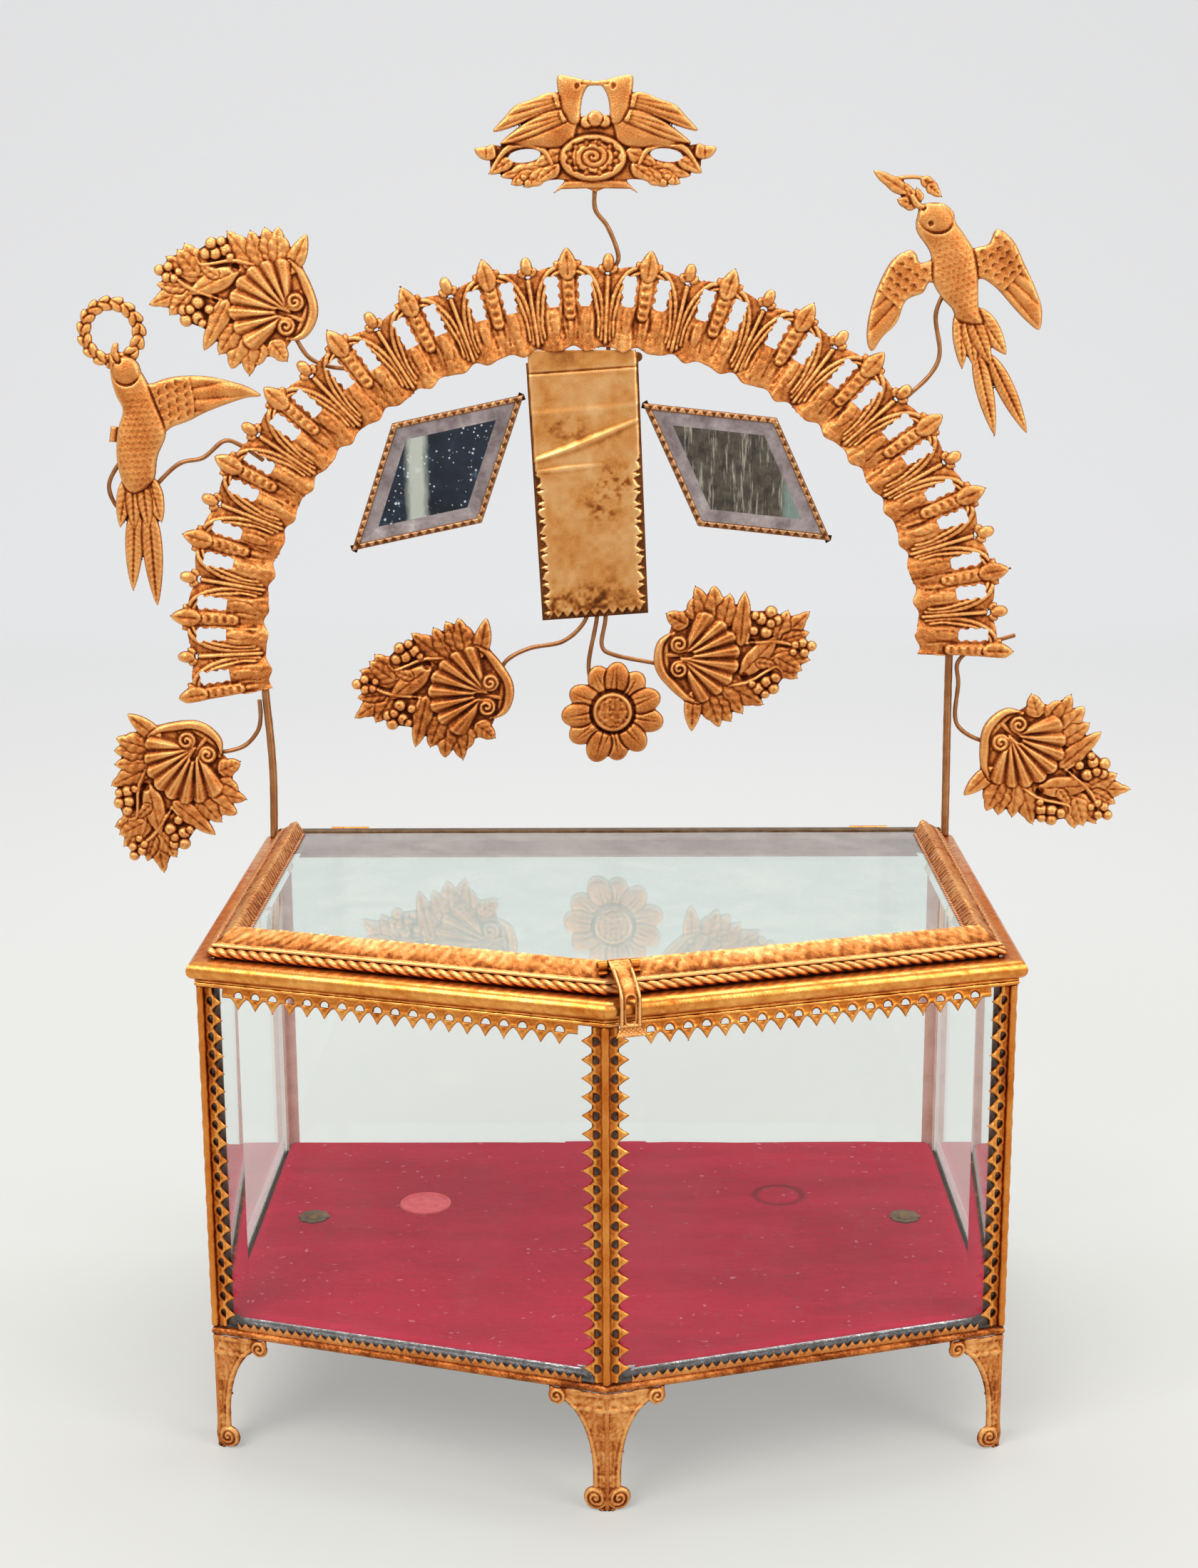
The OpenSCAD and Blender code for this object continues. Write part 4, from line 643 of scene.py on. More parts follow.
def doveRelief(v):
    s = reliefGrid(-49, 49, -17, 32, v["step"])
    x = s["x"]
    s["x"] = -np.abs(x)
    lay(s, outlineDepth(s, [
        (3, 9), (-6, 13), (-8, 18), (-16, 17), (-28, 12), (-34, 6), (-36, 4), (-40, 4), (-41, 0), (-40.5, -5),
        (-36, -7),
        (-32, -9), (-28, -11), (-24, -10), (-18, -9), (-12, -9), (-4, -12), (3, -12)]), 0.0, 0.3, 1.5)
    # swallow-tailed ribbon behind the medallion
    lay(s, outlineDepth(s, [(3, -8.5), (-12, -9.5), (-16.8, -14.2), (-13.5, -12.4), (3, -12)], False), 0.3,
        0.6, 1.2)
    # lower leaves and scroll
    for a, b, width, base, lobes in (
            ((-20, -4), (-37, -7.5), 6, 0.5, 2.5), ((-24, -6), (-33, -10.5), 5.5, 0.7, 1.5),
            ((-18, -5), (-28, -11.5), 6, 0.8, 2.5),
            ((-14, -3), (-23, -9.5), 6, 1.0, 1.5), ((-32, -1), (-41.5, -6.5), 5, 0.9, 1.5),
            ((-12, 2), (-24, -3.5), 6, 0.6, 1.5)):
        layLeaf(s, a, b, width, base, lobes=lobes)
    lay(s, strokeDepth(s, [(-40.5, -5.5), (-37, 0), (-33, 3.6), (-26, 4.6), (-20, 2), (-17, -3)], 2.6, 0.4),
        1.0, 0.9, 1.2)
    for c, r in (((-29.5, -9.5), 1.6), ((-26.5, -10), 1.5), ((-28, -8), 1.4)):
        layBerry(s, c, r, 1.0)
    # bud on the scroll's end
    lay(s, outlineDepth(s, [(-39.5, 4.5), (-42.5, 3.8), (-47, 3), (-45, -0.5), (-41, -1.5), (-38.5, 0)]), 0.8,
        1.1, 1.6, -0.4 * bell((s["x"] + 42.5) / 0.5))
    # breast, far wing, near wing, neck and head
    lay(s, outlineDepth(s, [(-5.5, 16), (-7.5, 10), (-9, 5), (-16, 3), (-27, 3.6), (-34, 5), (-26, 9),
                            (-17, 13), (-13, 17), (-9, 19)]), 0.7, 1.6, 5)
    layWing(s, [(-13, 22.8), (-18, 23.8), (-25, 21.2), (-31, 19), (-35, 15), (-39.8, 9.5), (-35, 10),
                (-28, 12.5), (-18, 16.5), (-12, 18)], (-12, 20), (-39, 10), 1.0, coverts=0.12, feathers=34)
    layWing(s, [(-10, 17.6), (-16, 17.2), (-22, 15.2), (-30, 10.8), (-37, 5), (-33, 4.8), (-26, 6.6),
                (-18, 9.6), (-11, 12.6), (-9, 15)], (-10, 15), (-37, 5), 1.5, coverts=0.12, feathers=34)
    lay(s, outlineDepth(s, [(-4.8, 22), (-5.6, 17), (-6.2, 12.5), (-9.5, 12), (-12.5, 16), (-13.8, 21),
                            (-14.6, 29.6), (-9, 29.6), (-5, 28.6), (-0.6, 27.8), (0.8, 27), (-2.6, 26)]), 1.3,
        1.7, 4.2)
    lay(s, strokeDepth(s, [(-5, 27.2), (-2.4, 27.2), (0.6, 27)], 1.9, 0.4), 1.6, 0.6, 0.9)
    sinkEye(s, (-7, 26), 0.9, 0.5)
    pierce(s, oval(s, (-27.6, 0.2), 6.4, 2.5, 6))
    s["x"] = x
    # stem bud between the necks
    for c, rx, rz in (((-3.4, 12.8), 2.6, 2.4), ((3.6, 13), 2.6, 2.4), ((0, 14), 3.2, 3.1)):
        lay(s, oval(s, c, rx, rz), 0.9, 1.4, 2)
    # medallion: thick round rim, and a coiled rose on a sunk ground
    gap = oval(s, (-1, -0.6), 13.2, 8.9)
    lay(s, gap, 0.9, 1.9, 2.2)
    groove(s, gap - 2.9, 1.6, 1.5)
    far = np.hypot(s["x"] + 1, (s["z"] + 0.4) * 1.25)
    spin = np.arctan2(s["z"] + 0.4, s["x"] + 1)
    coil = 0.75 * np.abs(np.sin(pi * (far / 2.9 - spin / (2 * pi)))) ** 0.8
    lay(s, v["rose"] * (1 + 0.07 * np.cos(5 * spin)) - far, 1.3, 0.6, 1.5, coil)
    for k in range(12):
        a = 2 * pi * (k + 0.5) / 12
        lay(s, oval(s, (-1 + 9.4 * cos(a), -0.6 + 5.7 * sin(a)), 1.5, 1.0, k * 30 + 15), 1.4, 0.5, 0.8)
    return s


crestPiece("dovePair", doveRelief(doveRun), doveRun["origin"], "doves")

# bird in flight with a twig in its beak
birdRightRun = {"origin": (114.8, 357.8), "step": 0.37, "scale": 2.3}


def birdRightRelief(v):
    s = reliefGrid(-13, 59, -15, 91, v["step"])
    # twig: a loop of leaves above the beak
    lay(s, strokeDepth(s, [(7.5, 75), (4, 78), (-1, 82), (-5, 84.5), (2, 86), (8, 85.6), (12.5, 83),
                           (15, 79.5)], 1.6, 0.3), 0.3, 0.8, 0.8)
    for a, b, width in (((3, 80), (-10.8, 88.5), 5.5), ((6.5, 75.5), (-1.5, 77.5), 5.5),
                        ((7, 76), (1, 84), 4), ((7.5, 85.4), (14.5, 82), 4.5),
                        ((10, 83.5), (15.6, 78.6), 4.5), ((8, 77), (6, 82), 3.2)):
        layLeaf(s, a, b, width, 0.4, lobes=1.5)
    # tail feathers, then the flared feathers that cover their roots
    layFeathers(s, [((31, 20), (39.6, -13.6), 6.6), ((36.5, 18), (52.4, -12.8), 6.6)], 0.3, rise=1.1,
                veins=16, ribbed=0.07, fold=0.5)
    layFeathers(s, [((24, 36), (25.8, 12.6), 6), ((27, 34), (30.5, 13.5), 6), ((30, 36), (43, 18), 8),
                    ((28, 34), (37, 14), 7)], 0.8, rise=1.0, veins=9, ribbed=0.08, fold=0.45)
    layWing(s, [(28, 58), (34.5, 60.5), (37, 65.6), (40, 65.6), (45, 61), (49, 53), (53.5, 44), (56.5, 35.5),
                (55.8, 27.6), (50.5, 31), (45, 36.5), (39, 43), (33.5, 47), (29, 48)], (30, 57), (56, 28),
            0.7, coverts=0.46)
    layWing(s, [(16, 55), (8.5, 53.5), (6.5, 57), (3.5, 58.4), (-2.5, 55), (-7, 47.5), (-10, 39.5),
                (-12, 30.5), (-12, 23), (-9.8, 19.6), (-6, 25), (-0.5, 30.5), (3, 39), (9.5, 42), (12, 46),
                (17, 45)], (12, 50), (-10, 20), 0.7, coverts=0.5)
    body = outlineDepth(s, [(6.4, 71), (7.6, 75), (11, 76.4), (16.5, 76), (20.5, 73), (21.6, 69), (25, 64.4),
                            (29, 58), (31, 48), (31.5, 37), (33, 30), (24, 31), (21, 36), (17, 40), (13, 47),
                            (12, 57), (7, 64.5), (6, 68)])
    t, across, size = local(s, (13, 70), (28, 32))
    lay(s, body, 1.0, 2.6, 6.5, scaleRows(t * size, across, v["scale"], 0.34) * unit(t * 4 - 0.4)
        * unit(body))
    lay(s, oval(s, (13.5, 70.2), 7, 5.6, -20), 1.9, 2.0, 5)
    sinkEye(s, (11.5, 68.4), 1.1, 0.7)
    lay(s, strokeDepth(s, [(8.5, 74.5), (6, 76), (4.4, 78.6)], 2.6, 0.2), 1.4, 1.0, 1.2)
    return s


crestPiece("birdRight", birdRightRelief(birdRightRun), birdRightRun["origin"], "bird_right")

# bird in flight with a wreath in its beak
birdLeftRun = {"origin": (-143.4, 339.5), "step": 0.37, "scale": 2.4, "wreathLeaves": 15}


def birdLeftRelief(v):
    s = reliefGrid(-68, 9, -64, 62, v["step"])
    for k in range(v["wreathLeaves"]):
        a = 2 * pi * (k + 0.25) / v["wreathLeaves"]
        c = (-53 + 10.9 * cos(a), 46.6 + 11.2 * sin(a))
        for out, swing in ((1.0, 26), (-0.9, -26)):
            lay(s, oval(s, (c[0] + out * cos(a), c[1] + out * sin(a)), 3.1, 1.75, np.degrees(a) + 90 + swing),
                0.5, 1.2, 1.4)
    lay(s, outlineDepth(s, [(-52.5, 9.5), (-55.2, 9.8), (-56.2, 3.6), (-53, 3.4)], False), 0.0, 0.4, 1)
    layFeathers(s, [((-47, -22), (-49.6, -56.4), 7), ((-41.5, -22), (-40, -62.6), 7.6)], 0.3, rise=1.1,
                veins=16, ribbed=0.07, fold=0.5)
    layFeathers(s, [((-49, -10), (-53.5, -30.5), 6.5), ((-41, -10), (-36.6, -28.6), 7),
                    ((-47.5, -12), (-47.6, -31.5), 6), ((-43.5, -12), (-41.8, -31), 6)], 0.8, rise=1.0,
                veins=8, ribbed=0.08, fold=0.45)
    layWing(s, [(-41, 24), (-36.5, 27), (-30, 29), (-22, 29.6), (-14, 29), (-5.5, 27), (0.5, 25), (5.4, 21.6),
                (0, 20.8), (-5, 19.4), (-12, 17), (-18, 14.6), (-24, 11.6), (-30, 9.6), (-37, 7)], (-39, 19),
            (6, 22), 0.7, coverts=0.4, feathers=24)
    body = outlineDepth(s, [(-54, 38.6), (-49, 37), (-43.5, 33), (-40, 28), (-36.5, 19), (-33.4, 10),
                            (-33.6, 5), (-37, -2.5), (-39, -12), (-46, -17), (-51, -14), (-53.4, -3),
                            (-52.4, 8), (-50, 16), (-52.4, 22), (-54, 29)])
    t, across, size = local(s, (-47, 30), (-45, -12))
    lay(s, body, 1.0, 2.6, 6.5, scaleRows(t * size, across, v["scale"], 0.34) * unit(t * 3) * unit(body))
    lay(s, oval(s, (-47.6, 31.4), 5.6, 5.8), 1.9, 1.9, 5)
    lay(s, strokeDepth(s, [(-50.5, 35.5), (-52, 38.5), (-51.5, 41.4)], 3, 0.2), 1.4, 1.1, 1.3)
    return s


crestPiece("birdLeft", birdLeftRelief(birdLeftRun), birdLeftRun["origin"], "bird_left")

# flower: petals overlap one another round a raised plain disc
flowerRun = {"origin": (1.7, 232.6), "tone": -0.22, "step": 0.34, "disc": 8.2,
             "petals": [(111, 19.8), (53, 19.6), (-14, 21.1), (-84, 20.4), (-145, 20.8), (153, 19.2),
                        (83, 20.4), (19, 20.3), (-52, 20.2), (-111, 22.2), (-174, 20.9)]}


def flowerRelief(v):
    s = reliefGrid(-24, 24, -24, 24, v["step"])
    for turn, reach in v["petals"]:
        a = radians(turn)
        c = ((reach - 6.9) * cos(a), (reach - 6.9) * sin(a))
        t, across, _ = local(s, (0, 0), (cos(a) * reach, sin(a) * reach))
        crease = -0.5 * bell((across + 1.5 - 2.2 * t) / 0.45) - 0.3 * bell((across - 2.4 + t) / 0.4)
        lay(s, oval(s, c, 7.2, 5.3, turn), 0.5, 1.5, 3.4, crease * unit(1.7 - 1.6 * t) - 0.5 * unit(t - 0.75))
    far = np.hypot(s["x"], s["z"])
    groove(s, far - v["disc"] - 0.7, 1.6, 0.9)
    lay(s, v["disc"] - far, 1.4, 1.6, 1.2)
    groove(s, far - v["disc"] + 2.0, 1.2, 0.3)
    s["height"] += 0.25 * cellNoise(s["x"], s["z"], 1.1, 81) * (far < v["disc"] - 1.6)
    return s


crestPiece("flowerHead", dict(flowerRelief(flowerRun), stainAndShade=flowerRun["tone"]), flowerRun["origin"],
           "flower")
print("stage 5: doves, birds and flower")

# arch band, worked out unrolled: x runs along the curve, z outwards from its inner edge
archRun = {"centre": (-6.8, 262.7), "radii": (133.1, 116.9), "width": 28.0, "from": -2.0, "to": 188.4,
           "motifs": 16, "pitch": 28.9, "lap": 2.2, "step": 0.45, "openingAt": 6.1, "openingUp": 21.9,
           "opening": (2.6, 6.1)}


def archPlace(v):
    # even steps of x are even steps along the curve, so the angle is eased by the ellipse's shape
    a, b = v["radii"][0] + v["width"] / 2, v["radii"][1] + v["width"] / 2
    ease = np.degrees((a ** 2 - b ** 2) / (a ** 2 + b ** 2)) / 4

    def place(x, z, lift):
        t = v["to"] - x / v["pitch"] * (v["to"] - v["from"]) / v["motifs"]
        angle = np.radians(t + ease * np.sin(2 * np.radians(t)))
        return np.stack([v["centre"][0] + (v["radii"][0] + z) * np.cos(angle), crestBack - sheetThick - lift,
                         v["centre"][1] + (v["radii"][1] + z) * np.sin(angle)], 1) * mm
    return place


def archRelief(v):
    pitch, half = v["pitch"], v["pitch"] / 2
    total = pitch * v["motifs"]
    s = reliefGrid(-v["lap"] - 0.8, total + v["lap"] + 0.8, -2.4, 40.5, v["step"])
    x, z = s["x"], s["z"]
    number = np.round(x / pitch)
    odd = np.sin(number * 2.3) * 0.5 + 0.5
    side = x - number * pitch
    s["x"] = np.abs(side)
    far = s["x"] / pitch
    # edges: round heads that meet at the stems, and a wavy inner edge
    head = v["width"] * (0.96 + 0.17 * np.sqrt(unit(1 - (far / 0.47) ** 3)))
    foot = 0.9 * np.cos(4 * pi * far) - 0.6 + 0.35 * np.sin(x * 0.71)
    ends = np.minimum(x + v["lap"], total + v["lap"] - x)
    fold = 1.15 - 1.15 * np.cos(4 * pi * far) * (1.1 - 0.55 * unit(z / v["width"]))
    lay(s, np.minimum(np.minimum(head - z, z - foot), ends), 0.0, 0.2, 1.2)
    base = 0.25 + 0.75 * fold
    s["height"] = s["height"] + base
    # uneven pleats, flutes beside each fold, and fine dots along the foot
    pleats = cellNoise(x, z * 0.2, 1.7, 91) + 0.6 * cellNoise(x, z * 0.35, 3.4, 92)
    s["height"] += 0.5 * pleats * unit(1.3 - np.abs(z - 9) / 12)
    s["height"] += 0.22 * np.cos(2 * pi * side / 3.1 + odd) * unit(1 - np.abs(z - 9) / 7)
    dots = np.cos(2 * pi * side / 1.45) * np.cos(2 * pi * (z - 1.2) / 1.9)
    s["height"] += 0.16 * unit(dots) * unit(3 - np.abs(z - 4.2))
    # leaf-shaped boss below each opening
    lay(s, oval(s, (v["openingAt"], 10.5), 5.4, 2.1, 90), base + 0.1, 0.5, 1.6)
    groove(s, strokeDepth(s, [(2.6, 4), (3.2, 10), (2.6, 15.5)], 0.2) - 0.1, 1.1, 0.5)
    # strips: two on each side, from the stem's foot over the openings to the ridge
    for path, width in (([(11.3, 4.5), (11.6, 10), (10.6, 16), (9.6, 21), (7.8, 25.6), (4.8, 28.6),
                          (2, 29.6)], 1.5),
                        ([(half - 1.7, 3), (half - 1.4, 10), (half - 2, 17), (half - 3.9, 23.5), (7.4, 28.9),
                          (3.6, 31.4), (0.8, 31.8)], 1.9)):
        lay(s, strokeDepth(s, path, width, 0.1), base + 0.35, 0.85, 0.9)
    # ridge with its finial: a pointed leaf between two short ones
    lay(s, strokeDepth(s, [(0, 13), (0, 22), (0, 30)], 5.2, 0.1), 0.8, 1.1, 2.2,
        -0.3 * np.cos(2 * pi * z / 3.3) * (s["x"] < 1.3))
    lay(s, oval(s, (2.7, 31.4), 2.7, 1.5, 50), 1.2, 0.8, 1.2)
    layLeaf(s, (0, 26), (0, 38.6), 6.4, 1.4, rise=1.2, lobes=0.5, cut=0, ribbed=0.0, fold=0.35)
    # stem with a bud
    lay(s, strokeDepth(s, [(half, 2), (half, 14), (half, 27)], 1.7), 1.3, 0.9, 0.9)
    lay(s, oval(s, (half - 2.0, 30.2), 1.9, 1.3, 120), 1.2, 0.8, 1)
    lay(s, oval(s, (half, 32.6), 3.6, 2.1, 90), 1.2, 1.5, 2)
    s["height"] += 0.22 * cellNoise(x, z, 1.5, 93)
    # openings, a little ragged at their outer side
    hole = np.minimum(v["opening"][0] + 0.35 * np.sin(z * 1.7 + number) - np.abs(s["x"] - v["openingAt"]),
                      v["opening"][1] - np.abs(z - v["openingUp"]))
    corner = np.hypot(np.clip(np.abs(s["x"] - v["openingAt"]) - 1.1, 0, None),
                      np.clip(np.abs(z - v["openingUp"]) - 4.6, 0, None))
    pierce(s, np.minimum(hole, 1.75 + 0.35 * np.sin(z * 1.7 + number) - corner))
    s["depth"] = np.minimum(s["depth"], ends)
    s["x"] = x
    return s


archShape = archRelief(archRun)
columns = np.linspace(0, archShape["x"].shape[1] - 1, 4).astype(int)
for name, first, last in zip(("left", "top", "right"), columns, columns[1:]):
    piece = stampedSheet("archBand." + name, archShape, archPlace(archRun), metal["stampedBrass"],
                         columns=(first, last))
    finish(piece, "casket", "stamped_brass", "arch_band")
print("stage 6: arch band")


plateValues = {
    "origin": (-7.2, 323.3), "outline": [(-25, 50), (19.5, 52), (23.5, -50), (-19.5, -53)],
    "creases": [([(-24, 11), (-6, 17), (19, 27.5)], 5.0, 0.8), ([(-22, 7), (-8, 8.5), (5, 10)], 3.4, 0.4),
                ([(-24, 30), (0, 31), (20, 34)], 6, 0.3)],
    "toothPitch": 3.7, "toothReach": 2.8, "lugs": [(-21.5 + 5.1 * k, 50.3 + 0.25 * k) for k in range(9)],
    "step": 0.5,
}


def plateRelief(v):
    s = reliefGrid(-27, 25.5, -55, 55, v["step"])
    x, z = s["x"], s["z"]
    sheet = outlineDepth(s, v["outline"], smooth=False)
    for c in v["lugs"]:
        sheet = np.maximum(sheet, disc(s, c, 1.9))
    lay(s, sheet, 0.0, 0.2, 0.6)
    # the front layer ends in teeth along the sides and the foot, and shows the layer behind between them
    left = (x + 25 - (50 - z) * 5.5 / 103) * 0.998
    right = (19.5 + (52 - z) * 4 / 102 - x) * 0.998
    foot = z + 53 - (x + 19.5) * 3 / 43
    saw = v["toothReach"] * np.abs(2 * ((z / v["toothPitch"] + 0.2 * np.sin(z)) % 1) - 1)
    sawFoot = v["toothReach"] * 0.8 * np.abs(2 * ((x / v["toothPitch"]) % 1) - 1)
    upperLeft, upperRight = unit((z - 3) / 5), unit((z - 9) / 5)
    front = np.minimum(left - 0.9 - saw * (1 - upperLeft), right - 0.9 - saw * (1 - upperRight))
    front = np.minimum(front, foot - 0.7 - sawFoot)
    bulge = 1.1 * unit(1 - ((x - 0.5) / 23) ** 2) * unit(1 - ((z + 8) / 60) ** 2)
    lay(s, front, 0.35, 0.35, 0.7, bulge + 0.12 * cellNoise(x, z, 6, 3))
    for path, width, rise in v["creases"]:
        k = unit(strokeDepth(s, path, width, 0.5) / (width / 2))
        s["height"] += rise * k * k * (3 - 2 * k)
    groove(s, z - 45.7 - (x + 25) * 3 / 45, 0.9, 0.5)
    # stain: brown in the lower corners and speckled by the folds
    speckle = cellNoise(x, z, 1.1, 5) * 0.6 + cellNoise(x, z, 3, 6) * 0.7
    low = unit((-35 - z) / 9) * (0.75 - 0.35 * unit((x - 4) / 12))
    spots = np.exp(-((x - 10) / 8) ** 2 - ((z - 4) / 6) ** 2) + 0.7 * np.exp(
        -((x - 4) / 7) ** 2 - ((z + 7) / 6) ** 2)
    spots += 0.5 * np.exp(-((x + 9) / 9) ** 2 - ((z - 24) / 6) ** 2)
    stainAndShade = -np.clip(1.4 * low * (0.6 + speckle) + 1.5 * spots * (0.25 + speckle), 0, 1.6)
    # painted shade: the layer seen between the teeth is darkened, and so is the band over the creases; the
    # strip above the top fold is darker too
    behind = unit(-front / 0.4 + 0.3)
    shade = 0.3 * unit(1 - np.abs(z - 21) / 8)
    upper = unit((z - 44) / 2) * 0.35
    s["stainAndShade"] = 0.22 + 0.25 * cellNoise(x, z, 9, 8) + 0.2 * cellNoise(
        x, z, 2.4, 9) + stainAndShade - 1.4 * behind - upper - shade
    return s


piece = stampedSheet("centrePlate", plateRelief(plateValues), crestPlace(plateValues["origin"]),
                     metal["giltSheet"])
finish(piece, "casket", "gilt_brass", "centre_plate")

mirrorValues = {"side": 54, "half": 29.5, "inset": 0.8, "back": 0.55, "edgeThick": 0.9, "thick": 1.6,
                "bevel": 7.4, "left": ((-33.1, 361.1), 221.4), "right": ((13.9, 357.6), -36)}


def mirrorReflectionAndWear(name, v):
    # silvered glass seen from the front: a dark mirror whose colour is a painted reflection, clouded and
    # crossed by a pale band, with specks where the silver has gone
    material, tree = newMaterial(name)
    at = addNode(tree, "TexCoord").outputs["Object"]
    clouds = addNode(tree, "TexNoise", {"Vector": at, "Scale": 1 / (v["cloud"] * mm), "Detail": 5,
                                        "Roughness": 0.65})
    stretch = addNode(tree, "Mapping", {"Vector": at, "Rotation": (0, radians(v["turn"]), 0),
                                        "Scale": (1, 1, v["draw"])})
    streaks = addNode(tree, "TexNoise", {"Vector": stretch, "Scale": 1 / (v["streak"] * mm), "Detail": 4,
                                         "Roughness": 0.7})
    specks = addNode(tree, "TexVoronoi", {"Vector": at, "Scale": 1 / (v["speck"] * mm)})
    base = addNode(tree, "ValToRGB", {0: clouds})
    setRamp(base, [(0.35, v["deep"]), (0.62, v["mid"]), (0.8, v["paleReflection"])])
    lines = addNode(tree, "MapRange", {"Value": streaks, "From Min": v["lineFrom"], "From Max": v["lineFrom"]
                                       + 0.12, "To Max": v["lineShare"]})
    scratched = addNode(tree, "Mix", {0: lines, 6: base, 7: v["line"]}, data_type="RGBA")
    size = addNode(tree, "Math", {0: clouds, 1: v["speckGrow"], 2: v["speckSize"] - 0.5 * v["speckGrow"]},
                   operation="MULTIPLY_ADD")
    dot = addNode(tree, "Math", {0: size, 1: specks.outputs["Distance"]}, operation="SUBTRACT")
    dot = addNode(tree, "MapRange", {"Value": dot, "From Max": 0.12})
    dotted = addNode(tree, "Mix", {0: dot, 6: scratched.outputs[2], 7: "#DCE4EC"}, data_type="RGBA")
    place = addNode(tree, "SeparateXYZ", {0: at})
    across = addNode(tree, "Math", {0: streaks, 1: 0.004, 2: v["bandAt"] * mm - 0.002},
                     operation="MULTIPLY_ADD")
    away = addNode(tree, "Math", {0: place.outputs["X"], 1: across}, operation="SUBTRACT")
    away = addNode(tree, "Math", {0: away}, operation="ABSOLUTE")
    band = addNode(tree, "MapRange", {"Value": away, "From Min": v["bandHalf"] * mm,
                                      "From Max": v["bandHalf"] * 0.4 * mm, "To Max": v["bandShare"]})
    final = addNode(tree, "Mix", {0: band, 6: dotted.outputs[2], 7: v["band"]}, data_type="RGBA")
    mirror = addNode(tree, "BsdfPrincipled", {"Base Color": final.outputs[2], "Metallic": v["metallic"],
                                              "Roughness": v["rough"], "Coat Weight": 0.6,
                                              "Coat Roughness": 0.03})
    addNode(tree, "OutputMaterial", {"Surface": mirror})
    return material


mirrorLooks = {
    # left and right colours are painted reflections: navy on the left, brown on the right
    "left": {"cloud": 9, "streak": 2.0, "turn": 0, "draw": 0.2, "speck": 2.1, "speckSize": 0.2,
             "speckGrow": 0.9, "deep": "#0A1420", "mid": "#1B2A3C", "paleReflection": "#5A7088",
             "line": "#8898A8", "lineFrom": 0.66, "lineShare": 0.5, "bandAt": -76.5, "bandHalf": 5.2,
             "bandShare": 0.85, "band": "#D6DCCF", "metallic": 0.6, "rough": 0.12},
    "right": {"cloud": 5, "streak": 1.4, "turn": 52, "draw": 0.1, "speck": 5, "speckSize": 0.03,
              "speckGrow": 0.2, "deep": "#2E2822", "mid": "#5E5446", "paleReflection": "#8C8270",
              "line": "#C9C3B2", "lineFrom": 0.55, "lineShare": 0.6, "bandAt": 74, "bandHalf": 5,
              "bandShare": 0.65, "band": "#8FA9A2", "metallic": 0.5, "rough": 0.22},
    # the bevel shows the pale room at a steep angle, a little lilac
    "bevel": {"cloud": 7, "streak": 2, "turn": 20, "draw": 0.3, "speck": 3, "speckSize": 0.06,
              "speckGrow": 0.4, "deep": "#7E6E70", "mid": "#B5A6A6", "paleReflection": "#DCDDDC",
              "line": "#8E7F84", "lineFrom": 0.62, "lineShare": 0.4, "bandAt": -400, "bandHalf": 4,
              "bandShare": 0.0, "band": "#FFFFFF", "metallic": 0.7, "rough": 0.14},
}
mirrorSkin = {name: mirrorReflectionAndWear("silveredGlass." + name, look) for name, look in mirrorLooks.items()}

for name in ("left", "right"):
    v = mirrorValues
    t = radians(v["half"])
    legs = np.array([[cos(t), -sin(t)], [cos(t), sin(t)]]) * v["side"]
    wide = v["side"] * sin(2 * t)
    rings = []
    for inset, lift in ((v["inset"], 0), (v["inset"], v["edgeThick"]), (v["bevel"], v["thick"])):
        k = inset / wide
        quad = np.array([[k, k], [1 - k, k], [1 - k, 1 - k], [k, 1 - k]]) @ legs
        rings.append(np.column_stack([quad, np.full(4, v["back"] + lift)]))
    p = np.concatenate(rings)
    (ox, oz), turned = v[name]
    t = radians(turned)
    p = np.stack([ox + p[:, 0] * cos(t) - p[:, 1] * sin(t), crestBack - p[:, 2], oz + p[:, 0] * sin(t)
                  + p[:, 1] * cos(t)], 1) * mm
    walls = gridFaces(3, 4, closeColumns=True)
    piece = meshObject("mirrorGlass." + name, p, walls, mirrorSkin["bevel"], smooth=False,
                       caps=([8, 9, 10, 11], [3, 2, 1, 0]))
    piece.data.materials.append(mirrorSkin[name])
    piece.data.polygons[8].material_index = 1
    finish(piece, "casket", "mirror", "mirror_" + name)

frameValues = {"wide": 2.5, "pitch": 3.6, "lift": 1.9, "thick": 2.2, "step": 0.4}


def frameRelief(v, m):
    # folded strip round a lozenge: a smooth inner lip and notches along the outer edge, darkened with painted
    # shade
    s = reliefGrid(-1, m["side"] * 2 * cos(radians(m["half"])) + 1, -28, 28, v["step"])
    t = radians(m["half"])
    x, z = s["x"], s["z"]
    middle = m["side"] * cos(t)
    inset = (middle - np.abs(x - middle)) * sin(t) - np.abs(z) * cos(t)
    run = (middle - np.abs(x - middle)) * cos(t) + np.abs(z) * sin(t)
    saw = np.abs(2 * ((run / v["pitch"]) % 1) - 1)
    lay(s, np.minimum(inset, v["wide"] - inset), v["lift"], 0.3, 0.8)
    notch = unit((saw * v["wide"] * 0.95 - inset + 0.35) / 0.5)
    s["height"] -= 0.35 * notch
    # browner all over, and the notches painted darker as shade
    s["stainAndShade"] = -0.55 - 1.1 * notch
    return s


shape = frameRelief(frameValues, mirrorValues)
for name in ("left", "right"):
    piece = stampedSheet("mirrorRim." + name, shape, crestPlace(*mirrorValues[name]), metal["brownWire"],
                         thick=frameValues["thick"])
    finish(piece, "casket", "copper_strip", "mirror_frame_" + name)
print("stage 7: plate and mirrors")


